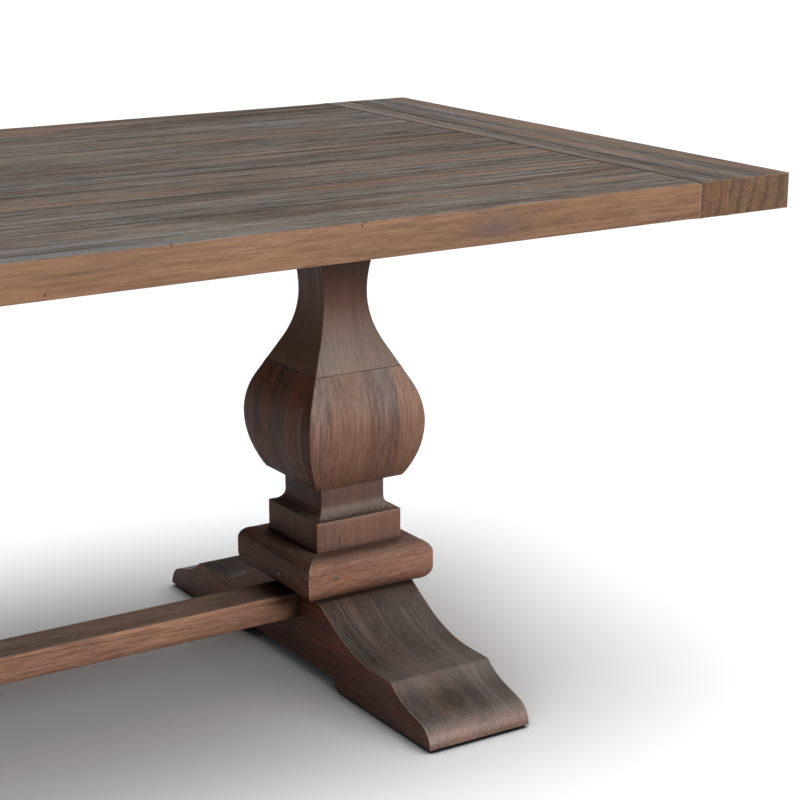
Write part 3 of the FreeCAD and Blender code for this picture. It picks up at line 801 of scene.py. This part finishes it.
def base_look(**changes):
    """The look of the base: its colours, and how much there is of each trait."""
    colours = bpy.context.scene.table_colours
    look = dict(
        dark=tuple(colours.base_dark), light=tuple(colours.base_light), warm=tuple(colours.base_warm),
        worn=tuple(colours.worn), dirt=tuple(colours.dirt), knot=(0.020, 0.014, 0.012),
        # Colours of the grey film on faces that look up: wear, with painted sheen
        film_dark=(0.034, 0.024, 0.019), film_light=(0.150, 0.110, 0.088), film_warm=(0.120, 0.066, 0.044),
        bleach=(0.120, 0.104, 0.094), grime_colour=(0.033, 0.0154, 0.011),
        # Colour of the painted shade on faces that look down, whose share is under
        under_colour=(0.080, 0.034, 0.021),
        film=0.80, film_warmth=0.40, bleaching=0.40, film_from=0.30, ledge=1.0, side_film=1.0,
        wander=0.014, sway=0.10, rings=85.0, ring=0.12, end_ring=0.30, push=0.012, follow=0.0,
        board=0.10, patch=0.30, band=0.30, streak=0.28, fine=0.35, warmth=0.40, smoke=0.35,
        cracks=0.35, crack_size=(1.0, 52.0, 52.0), crack_width=0.014, side_cracks=1.0, pores=0.50,
        rub=0.55, rough=0.46, gloss=0.08, relief=0.5, seam=1 * MM, seam_up=False,
        grime=0.85, grime_reach=0.16, under=0.45, staves=False, side_tint=None, end_light=None,
        knots=(), marks=(), seams=(), bands=())
    look.update(changes)
    return SimpleNamespace(**look)


def moulding_look():
    """The look of the base mouldings, which are smoother and redder."""
    return base_look(
        dark=(0.040, 0.020, 0.0145), light=(0.310, 0.154, 0.102), warm=(0.265, 0.123, 0.070),
        band=0.22, streak=0.20, fine=0.30, smoke=0.22, cracks=0.15, pores=0.35, under=0.30)


def top_look(**changes):
    """The look of the top, which is greyer: partly wear, partly painted sheen."""
    colours = bpy.context.scene.table_colours
    look = dict(
        dark=tuple(colours.edge_dark), light=tuple(colours.edge_light), warm=tuple(colours.edge_warm),
        film_dark=tuple(colours.top_dark), film_light=tuple(colours.top_light),
        film_warm=(0.150, 0.086, 0.054), bleach=(0.118, 0.122, 0.124), knot=(0.072, 0.042, 0.036),
        film=1.0, film_warmth=0.60, bleaching=0.60, wander=0.010, sway=0.16,
        board=0.22, patch=0.22, band=0.28, streak=0.32, fine=0.60,
        cracks=0.62, crack_size=(0.5, 24.0, 24.0), crack_width=0.045, side_cracks=0.3,
        rough=0.58, gloss=0.16, relief=0.8, seam=4.3 * MM, seam_up=True, grime=0.0, under=0.0)
    look.update(changes)
    return base_look(**look)


def wood_looks():
    """Each of the table's woods, as the axis of its grain and its look."""
    strip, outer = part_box("end_strip_right")[0].x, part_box("end_board_right")[0].x
    plank_seams = tuple((1, share * PLANK_WIDTH) for share in (0.5, 1.5, 2.5)) + ((0, strip),)
    end_seams = ((0, strip), (0, outer))
    glue = {"seams": ((2, GLUE_LEVEL),), "seam": 0.7 * MM}
    return {
        "plank wood": (0, top_look(knots=PLANK_KNOTS, marks=PLANK_MARKS, seams=plank_seams)),
        "end strip wood": (1, top_look(
            seams=end_seams, end_ring=0.30, rings=60.0, rub=0.25, end_light=(0.164, 0.073, 0.032))),
        "end board wood": (1, top_look(
            knots=END_KNOTS, seams=end_seams, end_ring=0.50, rings=42.0, rub=0.25,
            band=0.20, streak=0.24, cracks=0.45, end_light=(0.167, 0.092, 0.042))),
        "stretcher wood": (0, base_look(
            knots=STRETCHER_KNOTS, knot=(0.170, 0.085, 0.056),
            dark=(0.108, 0.056, 0.036), light=(0.352, 0.188, 0.120), warm=(0.322, 0.154, 0.086),
            film_dark=(0.042, 0.033, 0.028), film_light=(0.138, 0.108, 0.090),
            band=0.24, streak=0.22, fine=0.50, rub=0.80)),
        "foot wood": (1, base_look(
            knots=FOOT_KNOTS, bands=FOOT_PAINTED_LIGHT_AND_SHADE, light=(0.290, 0.140, 0.094), side_tint=(1.38, 0.92, 0.80),
            film_dark=(0.025, 0.020, 0.0175), film_light=(0.080, 0.063, 0.054), film=0.95, ledge=1.05,
            wander=0.02, push=0.035, follow=0.85, patch=0.28, band=0.20, streak=0.20, fine=0.45,
            smoke=0.20, pores=0.30, end_ring=0.06, rub=0.75, gloss=0.20, rough=0.42)),
        "lengthways moulding wood": (0, moulding_look()),
        "crossways moulding wood": (1, moulding_look()),
        "post wood": (2, base_look(
            **glue, marks=POST_MARKS, bands=POST_PAINTED_SHADE, light=(0.215, 0.114, 0.082),
            side_tint=(0.90, 0.74, 0.64), grime=1.0, grime_reach=0.28, grime_colour=(0.030, 0.020, 0.019),
            # The post's light film starts at a slight upward tilt, so it paints light on the shoulder as
            # well as wear
            film_dark=(0.068, 0.056, 0.045), film_light=(0.262, 0.224, 0.186), film_warmth=0.15,
            film_from=0.05, ledge=0.35, side_film=0.40, follow=0.8, ring=0.04, patch=0.12, band=0.16,
            streak=0.10, fine=0.16, warmth=0.2, smoke=0.15, cracks=0.0, pores=0.12)),
        "cheek wood": (2, base_look(
            **glue, staves=True, bands=CHEEK_PAINTED_SHADE, side_tint=(0.72, 0.42, 0.28),
            dark=(0.026, 0.013, 0.009), light=(0.204, 0.120, 0.094), warm=(0.172, 0.086, 0.051),
            film_dark=(0.082, 0.066, 0.058), film_light=(0.205, 0.172, 0.154), film_from=0.0,
            follow=0.7, wander=0.03, ring=0.14, band=0.22, streak=0.24, fine=0.55, smoke=0.20,
            cracks=0.8, crack_size=(2.4, 80.0, 80.0), crack_width=0.028, pores=0.35, under=0.75)),
        "plug wood": (1, base_look(dark=(0.070, 0.040, 0.030), light=(0.200, 0.122, 0.090), rub=0.2)),
    }


def table_finish(name):
    """One of the table's finishes, made when first asked for."""
    found = bpy.data.materials.get(name)
    if found:
        return found
    others = {"zinc steel": steel, "pad plastic": pad_plastic}
    if name in others:
        return others[name](name).material
    return Wood(name, *wood_looks()[name]).material


# Outlines

def arc(centre, radius, first, last, count):
    """Points on an arc between two angles in degrees, both ends included."""
    points = []
    for step in range(count + 1):
        angle = math.radians(first + (last - first) * step / count)
        points.append((centre[0] + radius * math.cos(angle), centre[1] + radius * math.sin(angle)))
    return points


def sagitta_radius(run, rise):
    """The radius of an arc that leaves its start level and rises by so much over a run."""
    return (run ** 2 + rise ** 2) / (2 * rise)


def baluster_outline(sizes):
    """(half width, level) points of a baluster, from the foot up to the bearer, in metres."""
    post_low, plinth_top = (corner.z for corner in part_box("base_moulding_front_right"))
    plinth_top += PLINTH_RISE
    post_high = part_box("bearer_right")[0].z
    cap_low = post_high - CAP_RISE
    bulb_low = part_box("bulb_cheek_front_right")[0].z
    bulb_level = bulb_low + BULB_SHARE * (cap_low - plinth_top)
    throat_level = bulb_level + THROAT_SHARE * (cap_low - plinth_top)
    neck, throat, bulb = sizes.neck_width / 2, sizes.throat_width / 2, sizes.bulb_width / 2
    cove = PLINTH_HALF - neck

    # The shoulder above the bulb and the hollow of the throat, with a straight run that touches both
    rise = throat_level - bulb_level
    largest = sagitta_radius(rise, bulb - throat)
    shoulder_radius, hollow_radius = SHOULDER_CURVE_SHARE * largest, THROAT_CURVE_SHARE * largest
    shoulder = (bulb - shoulder_radius, bulb_level)
    hollow = (throat + hollow_radius, throat_level)
    apart = math.hypot(hollow[0] - shoulder[0], rise)
    lean = math.atan2(rise, hollow[0] - shoulder[0]) - math.acos((shoulder_radius + hollow_radius) / apart)
    lean = math.degrees(lean)
    shoulder_arc = arc(shoulder, shoulder_radius, 0, lean, 12)
    hollow_arc = arc(hollow, hollow_radius, 180 + lean, 180, 10)
    flare = sagitta_radius(cap_low - throat_level, CAP_NECK - throat)
    flare_turn = math.degrees(math.asin((cap_low - throat_level) / flare))
    swell = sagitta_radius(bulb_level - bulb_low, bulb - BULB_FOOT_HALF)
    swell_turn = math.degrees(math.asin((bulb_level - bulb_low) / swell))

    points = [(PLINTH_HALF, post_low)]
    points += [(PLINTH_HALF, plinth_top - drop * MM) for drop in (60, 46, 36, 26, 16, 8, 1.4)]
    points += [(PLINTH_HALF - 0.4 * MM, plinth_top - 0.5 * MM), (PLINTH_HALF - 1.4 * MM, plinth_top)]
    points += arc((PLINTH_HALF, plinth_top + cove), cove, 262, 180, 9)
    points += [(neck, plinth_top + cove + 10 * MM), (neck, bulb_low - 12 * MM)]
    points += arc((neck + 4 * MM, bulb_low - 4 * MM), 4 * MM, 180, 90, 4)
    for out, up in ((-1.4, 0), (-0.2, 0.5), (0.6, 1.6)):
        points.append((BULB_FOOT_HALF + out * MM, bulb_low + up * MM))
    points += arc((bulb - swell, bulb_level), swell, -swell_turn, 0, 14)[1:]
    points += shoulder_arc[1:]
    for step in range(1, 8):
        points.append(tuple(a + (b - a) * step / 8 for a, b in zip(shoulder_arc[-1], hollow_arc[0])))
    points += hollow_arc
    points += arc((throat + flare, throat_level), flare, 180, 180 - flare_turn, 8)[1:]
    for back, up in ((1.2, 0), (0.3, 0.4), (0, 1.4), (0, 15)):
        points.append((PLINTH_HALF - back * MM, cap_low + up * MM))
    return points + [(PLINTH_HALF, post_high)]


def foot_outline():
    """(y, level of the top, level of the underside) stations of a foot, from its middle to its end."""
    half, base, top = FOOT_HIGH.y, FOOT_LOW.z, FOOT_HIGH.z
    toe = base + TOE_RISE
    ridge = half - RIDGE_SETBACK
    sweep_end = ridge - SWEEP_SETBACK
    length = sweep_end - FLAT_HALF
    fall = math.atan2(top - toe, length * (1 - SWEEP_CURVE_SHARE))
    radius = length * SWEEP_CURVE_SHARE / math.tan(fall / 2)
    join, join_level = sweep_end - radius * math.sin(fall), toe + radius * (1 - math.cos(fall))

    # The cove under the ridge runs down a short slope into the round nose
    along_slope, up_slope = math.cos(math.radians(COVE_SLOPE)), math.sin(math.radians(COVE_SLOPE))
    nose = (half - NOSE_RADIUS, base)
    nose_join = (nose[0] + NOSE_RADIUS * up_slope, nose[1] + NOSE_RADIUS * along_slope)
    gap = (ridge - nose_join[0], toe - nose_join[1])
    back = -(gap[0] * along_slope - gap[1] * up_slope)
    rise = gap[0] * up_slope + gap[1] * along_slope
    back -= math.sqrt(COVE_RADIUS ** 2 - (COVE_RADIUS - rise) ** 2)
    cove = (nose_join[0] - back * along_slope + COVE_RADIUS * up_slope,
            nose_join[1] + back * up_slope + COVE_RADIUS * along_slope)
    cove_start = math.degrees(math.atan2(toe - cove[1], ridge - cove[0]))

    tops = [(y, top) for y in (0.0, 30 * MM, 60 * MM, FLAT_HALF - 0.5 * MM)]
    for step in range(1, 5):
        tops.append((FLAT_HALF + (join - FLAT_HALF) * step / 5, top + (join_level - top) * step / 5))
    tops += arc((sweep_end, toe + radius), radius, 270 - math.degrees(fall), 270, 12)
    tops += [(sweep_end + (ridge - sweep_end) * step / 4, toe) for step in (1, 2, 3)]
    tops += [(ridge - 0.8 * MM, toe), (ridge + 0.4 * MM, toe - 0.7 * MM)]
    tops += arc(cove, COVE_RADIUS, cove_start, -90 - COVE_SLOPE, 7)[1:]
    tops += arc(nose, NOSE_RADIUS, 90 - COVE_SLOPE, 3, 12)

    relief = base + RELIEF_RISE
    stations = [(y, level, relief) for y, level in tops if y < RELIEF_END]
    stations += [(y, level, base) for y, level in tops if y > PAD_START]
    for y, under in ((RELIEF_END, relief), (PAD_START, base)):
        after = next(index for index, point in enumerate(tops) if point[0] > y)
        (y0, z0), (y1, z1) = tops[after - 1], tops[after]
        stations.append((y, z0 + (z1 - z0) * (y - y0) / (y1 - y0), under))
    return sorted(stations)


# Operators, one for each group of like pieces

class TablePart(bpy.types.Operator):
    """Base of the operators that make the table's parts."""
    bl_options = {"REGISTER", "UNDO"}


class TABLE_OT_planks(TablePart):
    """Lay the seven long planks of the top"""
    bl_idname = "table.planks"
    bl_label = "Planks"

    def execute(self, context):
        sizes = context.scene.table_sizes
        for index in range(PLANKS):
            node = "top_plank_%d" % (index + 1)
            low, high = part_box(node)
            low.x, high.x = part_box("end_strip_left")[1].x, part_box("end_strip_right")[0].x
            low.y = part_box("end_board_right")[0].y + index * PLANK_WIDTH
            high.y = low.y + PLANK_WIDTH
            piece = add_block("plank_%d" % (index + 1), low, high)
            shaping(piece)
            divide(0, 150)
            divide(1, 9)
            first, last = index == 0, index == PLANKS - 1
            for y, free in ((low.y, first), (high.y, last)):
                bevel(lambda edge: along(edge, 0) and at(edge, 1, y) and at(edge, 2, low.z, high.z),
                      sizes.outer_ease if free else sizes.seam_ease, 3 if free else 2)
            bevel(lambda edge: along(edge, 1) and at(edge, 0, low.x, high.x) and at(edge, 2, high.z),
                  sizes.seam_ease, 2)
            done_shaping()
            wear(piece, sizes.wear_depth, 0,
                 lambda point: abs(point.x) < high.x - CLEAR
                 and (point.z > high.z - SKIN or first and point.y < low.y + SKIN
                      or last and point.y > high.y - SKIN),
                 seed=index + 1.0)
            finish_piece(piece, "plank wood", index * 1.618 + 0.4, node)
        return {"FINISHED"}


class TABLE_OT_ends(TablePart):
    """Fit the strip and the outer board across each end of the top"""
    bl_idname = "table.ends"
    bl_label = "Built-up ends"

    def execute(self, context):
        sizes = context.scene.table_sizes
        for number, kind in enumerate(("end_strip", "end_board")):
            low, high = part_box(kind + "_right")
            outermost = kind == "end_board"
            rounded = CORNER_ROUND - 0.1 * MM
            piece = add_block(kind + "_right_wood", low, high)
            shaping(piece)
            divide(1, 100)
            divide(0, 4 + 4 * number)
            if outermost:
                bevel(lambda edge: along(edge, 2) and at(edge, 0, high.x), CORNER_ROUND, 4)
            for x in [low.x] if outermost else [low.x, high.x]:
                bevel(lambda edge: along(edge, 1) and at(edge, 0, x) and at(edge, 2, high.z),
                      sizes.seam_ease, 2)

            def rim(edge):
                level = near(edge.verts[0].co.z, edge.verts[1].co.z) and at(edge, 2, low.z, high.z)
                crossways = abs(middle(edge).y) > high.y - rounded and not along(edge, 1)
                lengthways = outermost and middle(edge).x > high.x - rounded and not along(edge, 0)
                return (level and (crossways or lengthways)
                        and any(abs(face.normal.z) < 0.5 for face in edge.link_faces))
            bevel(rim, sizes.outer_ease, 3)
            done_shaping()
            wear(piece, sizes.wear_depth, 1,
                 lambda point: point.x > low.x + CLEAR and (outermost or point.x < high.x - CLEAR)
                 and (point.z > high.z - SKIN or abs(point.y) > high.y - SKIN
                      or outermost and point.x > high.x - SKIN),
                 seed=11.0 + number)
            boards = (24.3 + 1.9 * number, 28.3 + 1.9 * number)
            finish_pair(piece, kind.replace("_", " ") + " wood", boards, kind + "_right")
        return {"FINISHED"}


def carve_baluster(sizes):
    """The whole carved baluster of the right-hand pedestal, before it is parted."""
    points = baluster_outline(sizes)
    half, level = points[0]
    piece = add_block("baluster", (PEDESTAL_X - half, -half, level), (PEDESTAL_X + half, half, points[1][1]))
    shaping(piece)
    divide(0, 11)
    divide(1, 11)
    for (old, low), (new, high) in zip(points[1:], points[2:]):
        extend(lambda face: face.normal.z > 0.99 and near(middle(face).z, low),
               (0, 0, high - low), (new / old, new / old, 1), (PEDESTAL_X, 0, high))

    def long_arris(edge):
        offsets = [(abs(vertex.co.x - PEDESTAL_X), abs(vertex.co.y)) for vertex in edge.verts]
        return (all(near(x, y, 2e-5) and x > 30 * MM for x, y in offsets)
                and not near(edge.verts[0].co.z, edge.verts[1].co.z, 1e-6))
    bevel(long_arris, sizes.carved_ease, 3)
    done_shaping()
    return piece


class TABLE_OT_balusters(TablePart):
    """Carve the balusters, parted into a post and four glued cheeks each"""
    bl_idname = "table.balusters"
    bl_label = "Balusters"

    def execute(self, context):
        sizes = context.scene.table_sizes
        carved = carve_baluster(sizes)
        bulb_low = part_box("bulb_cheek_inner_right")[0].z
        half, x = PLINTH_CUT, PEDESTAL_X

        post = copy_piece(carved, "post_right_wood")
        shaping(post)
        for side in (-1, 1):
            saw((x + side * half, 0, 0), (side, 0, 0))
            saw((0, side * half, 0), (0, side, 0))
        done_shaping()
        wear(post, sizes.wear_depth, 2, lambda point: 0.19 < point.z < 0.66,
             seed=31.0, size=0.04, stretch=3.0)
        finish_pair(post, "post wood", (31.3, 33.9), "post_right")

        for number, (face, (out_x, out_y)) in enumerate(QUARTERS):
            cheek = copy_piece(carved, "cheek_%s_right_wood" % face)
            shaping(cheek)
            saw((x + out_x * half, out_y * half, 0), (-out_x, -out_y, 0))
            saw((x, 0, GLUE_LEVEL), (0, 0, 1))
            if out_x:
                saw((x, -half, 0), (0, -1, 0))
                saw((x, half, 0), (0, 1, 0))
            saw((x, 0, bulb_low - 0.1 * MM), (0, 0, -1))
            done_shaping()
            wear(cheek, sizes.wear_depth, 2,
                 lambda point: max(abs(point.x - x) - half, abs(point.y) - half) > 1.5 * MM
                 and (not out_x or abs(point.y) < half - 0.5 * MM),
                 seed=41.0 + number, size=0.04, stretch=3.0)
            boards = (41.0 + 2.3 * number, 51.0 + 2.3 * number)
            finish_pair(cheek, "cheek wood", boards, "bulb_cheek_%s_right" % face)
        bpy.data.objects.remove(carved)
        return {"FINISHED"}


class TABLE_OT_mouldings(TablePart):
    """Mitre the four lengths of each base moulding"""
    bl_idname = "table.mouldings"
    bl_label = "Base mouldings"

    def execute(self, context):
        sizes = context.scene.table_sizes
        corner = Vector((PEDESTAL_X, 0, 0))
        for number, (face, (out_x, out_y)) in enumerate(QUARTERS):
            node = "base_moulding_%s_right" % face
            low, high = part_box(node)
            piece = add_block("moulding_%s_right_wood" % face, low, high)
            run, across = (0, 1) if out_y else (1, 0)
            out = (high if out_x + out_y > 0 else low)[across]
            shaping(piece)
            divide(run, 40)
            for z, radius in ((low.z, sizes.low_round), (high.z, sizes.high_round)):
                bevel(lambda edge: along(edge, run) and at(edge, 2, z) and at(edge, across, out), radius, 9)
            for side in (-1, 1):
                saw(corner, (side, -out_y, 0) if out_y else (-out_x, side, 0))
            done_shaping()

            def exposed(point):
                gap = point - corner
                return abs(gap[across]) > PLINTH_HALF + CLEAR and abs(gap[run]) < abs(gap[across]) - 0.6 * MM
            wear(piece, sizes.wear_depth, run, exposed, seed=61.0 + number, size=0.03, stretch=4.0)
            finish = "lengthways moulding wood" if out_y else "crossways moulding wood"
            finish_pair(piece, finish, (61.0 + 1.7 * number, 71.0 + 1.7 * number), node)
        return {"FINISHED"}


class TABLE_OT_feet(TablePart):
    """Shape the two runner feet"""
    bl_idname = "table.feet"
    bl_label = "Feet"

    def execute(self, context):
        sizes = context.scene.table_sizes
        low, high = FOOT_LOW, FOOT_HIGH
        stations = foot_outline()
        second = stations[1][0]
        piece = add_block("foot_right_wood", (low.x, -second, stations[0][2]), (high.x, second, high.z))
        shaping(piece)
        divide(0, 13)
        divide(2, 5)
        draw_out(stations[1:])
        bevel(side_arris(high.x, lambda face: abs(face.normal.x) < 0.5 and face.normal.z > 0),
              sizes.base_ease, 3)
        done_shaping()
        wear(piece, sizes.wear_depth, 1,
             lambda point: 12 * MM < point.z < high.z - 1 * MM and abs(point.y) < high.y - CLEAR,
             seed=81.0, stretch=4.0)
        bore(piece, BOLT_SINK, ((high.x - 14 * MM, BOLT_OFFSET, BOLT_LEVEL),
                                (high.x + 2 * MM, BOLT_OFFSET, BOLT_LEVEL)))
        bore(piece, ROD_SINK, ((PEDESTAL_X, 0, low.z), (PEDESTAL_X, 0, 40 * MM)))
        finish_pair(piece, "foot wood", (81.4, 86.9), "foot_right")
        return {"FINISHED"}


class TABLE_OT_bearers(TablePart):
    """Shape the bearers between the posts and the top"""
    bl_idname = "table.bearers"
    bl_label = "Bearers"

    def execute(self, context):
        sizes = context.scene.table_sizes
        low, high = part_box("bearer_right")
        radius = sagitta_radius(high.y - BEARER_FLAT, BEARER_SWEEP)
        sweep = math.degrees(math.asin((high.y - BEARER_FLAT) / radius))
        centre = (BEARER_FLAT, low.z + radius)
        unders = [(BEARER_FLAT, low.z)] + arc(centre, radius, 270, 270 + sweep, 12)[1:]
        piece = add_block("bearer_right_wood", (low.x, -BEARER_FLAT, low.z), (high.x, BEARER_FLAT, high.z))
        shaping(piece)
        divide(1, 20)
        divide(0, 5)
        draw_out([(y, high.z, under) for y, under in unders])
        bevel(side_arris(high.x, lambda face: face.normal.z < -0.5), sizes.base_ease, 2)
        done_shaping()
        wear(piece, sizes.wear_depth * 0.6, 1,
             lambda point: low.z + 1 * MM < point.z < high.z - 1 * MM, seed=91.0)
        bore(piece, LAG_SINK, *(((PEDESTAL_X, y, low.z - 2 * MM), (PEDESTAL_X, y, 696 * MM))
                                for y in (-PLANK_WIDTH, PLANK_WIDTH)))
        finish_pair(piece, "foot wood", (91.2, 96.1), "bearer_right")
        return {"FINISHED"}


class TABLE_OT_stretcher(TablePart):
    """Fit the stretcher between the feet"""
    bl_idname = "table.stretcher"
    bl_label = "Stretcher"

    def execute(self, context):
        sizes = context.scene.table_sizes
        half, z = FOOT_LOW.x, BOLT_LEVEL
        low = Vector((-half, -STRETCHER_HALF, z - STRETCHER_DOWN))
        high = Vector((half, STRETCHER_HALF, z + STRETCHER_UP))
        piece = add_block("stretcher_wood", low, high)
        shaping(piece)
        for axis, cuts in enumerate((110, 5, 3)):
            divide(axis, cuts)
        bevel(lambda edge: along(edge, 0) and at(edge, 1, low.y, high.y) and at(edge, 2, low.z, high.z),
              sizes.base_ease, 3)
        done_shaping()
        wear(piece, sizes.wear_depth, 0, lambda point: abs(point.x) < half - 1 * MM, seed=101.0)
        x, y = half - 45 * MM, BOLT_OFFSET
        bore(piece, BARREL_SINK, *(((side * x, side * y, z - 25 * MM), (side * x, side * y, z + 13.2 * MM))
                                   for side in (-1, 1)))
        finish_piece(piece, "stretcher wood", 101.7, "stretcher")
        return {"FINISHED"}


def set_peg(name, radius, sides, start, end, ease):
    """A peg from inside a piece to its eased head, which stands a hair under the surface."""
    peg = add_bar(name, radius, sides, start, end)
    start, end = Vector(start), Vector(end)
    inwards = (start - end).normalized()
    shaping(peg)
    bevel(lambda edge: near((middle(edge) - end).dot(inwards), 0, 1e-6), ease, 2)
    done_shaping()
    return peg


class TABLE_OT_plugs(TablePart):
    """Set the plugs and pins of the base mouldings"""
    bl_idname = "table.plugs"
    bl_label = "Plugs and pins"

    def execute(self, context):
        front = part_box("base_moulding_front_right")[0].y
        for number, side in enumerate((-1, 1)):
            x, y = PEDESTAL_X + side * 62 * MM, side * -front
            plug = set_peg("plug_%d_right" % (number + 1), 4.5 * MM, 24, (x, y - side * 6 * MM, 161 * MM),
                           (x, y - side * 0.15 * MM, 161 * MM), 0.4 * MM)
            finish_pair(plug, "plug wood", (111.0 + number, 121.0 + number))
        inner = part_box("base_moulding_inner_right")[0].x
        pin = set_peg("pin_right", 1.8 * MM, 16, (inner + 4 * MM, -19 * MM, 150 * MM),
                      (inner + 0.1 * MM, -19 * MM, 150 * MM), 0.3 * MM)
        finish_pair(pin, "zinc steel", (131.0, 132.0))
        return {"FINISHED"}


class TABLE_OT_hardware(TablePart):
    """Finish the splines, rods, nuts, screws and glide pads of the frame"""
    bl_idname = "table.hardware"
    bl_label = "Joinery and hardware"

    def execute(self, context):
        finishes = {
            "end_spline": "end board wood", "tie_rod": "zinc steel", "tie_nuts": "zinc steel",
            "lag_screws": "zinc steel", "stretcher_bolts": "zinc steel", "barrel_nuts": "zinc steel",
            "glides": "pad plastic",
        }
        for name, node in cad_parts.items():
            for start, finish in finishes.items():
                if name.startswith(start):
                    node.data.materials.clear()
                    node.data.materials.append(table_finish(finish))
        return {"FINISHED"}


def studio_light():
    """A soft studio all round: wide lights overhead and in front, and a faint fill."""
    world = bpy.data.worlds.new("studio")
    world.use_nodes = True
    make = Nodes(world.node_tree)
    around = make.value("ShaderNodeTexCoord", "Generated")
    total = FILL_LIGHT
    for direction, strength, tightness in STUDIO_LIGHTS:
        facing = make.vector("DOT_PRODUCT", around, Vector(direction).normalized(), "Value")
        lobe = make.math("POWER", make.math("MAXIMUM", facing, 0.0), tightness)
        total = lobe * strength + total
    background = make.tree.nodes["Background"]
    make.feed(background.inputs["Strength"], total)
    background.inputs["Color"].default_value = opaque(WHITE)
    return world


def add_softboxes(floor):
    """Large soft lamps: those in front and behind light the table alone, and a low one the floor alone."""
    table_alone = bpy.data.collections.new("lit by the table's softboxes")
    table_alone.objects.link(floor)
    table_alone.collection_objects[0].light_linking.link_state = "EXCLUDE"
    floor_alone = bpy.data.collections.new("lit by the floor's softbox")
    floor_alone.objects.link(floor)
    for number, (place, power, glints, on_floor) in enumerate(SOFTBOXES):
        deselect()
        bpy.ops.object.light_add(type="AREA", location=place)
        lamp = bpy.context.active_object
        lamp.name = "softbox_%d" % (number + 1)
        lamp.data.shape = "RECTANGLE"
        lamp.data.size, lamp.data.size_y = SOFTBOX_SIZE
        lamp.data.energy = power
        lamp.data.color = COOL_WHITE if on_floor else WHITE
        lamp.rotation_euler = (SOFTBOX_TARGET - Vector(place)).to_track_quat("-Z", "Y").to_euler()
        lamp.visible_glossy = glints
        lamp.light_linking.receiver_collection = floor_alone if on_floor else table_alone


def floor_finish():
    """A plain pale floor with a painted contact shadow: a thin dark line where something stands on it."""
    make = Finish("studio floor")
    tint = opaque(tuple(bpy.context.scene.table_colours.floor))
    pale = make.mix(make.noise(make.place, (0.6, 0.6, 0.6), 2.0), tint, opaque(tint, 1.02))
    # Painted contact shadow where the floor is closed in within 34 mm
    painted_contact_shadow = make.span(make.openness(34 * MM, 8), 0.78, 0.36, 0.0, 0.94)
    make.coat(Base_Color=make.mix(painted_contact_shadow, pale, (0.012, 0.012, 0.012)),
              Roughness=0.9, Specular_IOR_Level=0.1)
    return make.material


class TABLE_OT_stage(TablePart):
    """Lay the studio floor, hang the lamps and set the camera"""
    bl_idname = "table.stage"
    bl_label = "Stage"

    def execute(self, context):
        deselect()
        bpy.ops.mesh.primitive_plane_add(size=60, location=(0, 0, 0))
        floor = context.active_object
        floor.name = "studio_floor"
        floor.data.materials.append(floor_finish())

        context.scene.world = studio_light()
        add_softboxes(floor)
        context.scene.view_settings.view_transform = "Standard"
        context.scene.view_settings.look = "None"

        deselect()
        turns = [math.radians(turn) for turn in CAMERA_TURN]
        bpy.ops.object.camera_add(location=CAMERA_PLACE, rotation=turns)
        camera = context.active_object
        camera.name = "camera"
        camera.data.sensor_width = 36
        camera.data.lens = CAMERA_LENS
        context.scene.camera = camera
        return {"FINISHED"}


PARTS = (
    TABLE_OT_planks, TABLE_OT_ends, TABLE_OT_balusters, TABLE_OT_mouldings, TABLE_OT_feet,
    TABLE_OT_bearers, TABLE_OT_stretcher, TABLE_OT_plugs, TABLE_OT_hardware, TABLE_OT_stage,
)


class TABLE_PT_panel(bpy.types.Panel):
    """Sizes, colours and parts of the table"""
    bl_idname = "TABLE_PT_panel"
    bl_label = "Trestle Dining Table"
    bl_space_type = "VIEW_3D"
    bl_region_type = "UI"
    bl_category = "Table"

    def draw(self, context):
        layout = self.layout
        for group in (context.scene.table_sizes, context.scene.table_colours):
            box = layout.box()
            for name in group.__annotations__:
                box.prop(group, name)
        for part in PARTS:
            layout.operator(part.bl_idname)


CLASSES = (TableSizes, TableColours) + PARTS + (TABLE_PT_panel,)


def register():
    """Make the classes known to Blender."""
    for entry in CLASSES:
        bpy.utils.register_class(entry)
    bpy.types.Scene.table_sizes = bpy.props.PointerProperty(type=TableSizes)
    bpy.types.Scene.table_colours = bpy.props.PointerProperty(type=TableColours)


def unregister():
    """Take the classes out again."""
    del bpy.types.Scene.table_colours
    del bpy.types.Scene.table_sizes
    for entry in reversed(CLASSES):
        bpy.utils.unregister_class(entry)


def main():
    """Make the whole table."""
    register()
    for part in PARTS:
        group, name = part.bl_idname.split(".")
        getattr(getattr(bpy.ops, group), name)()
    deselect()


if __name__ == "__main__":
    main()
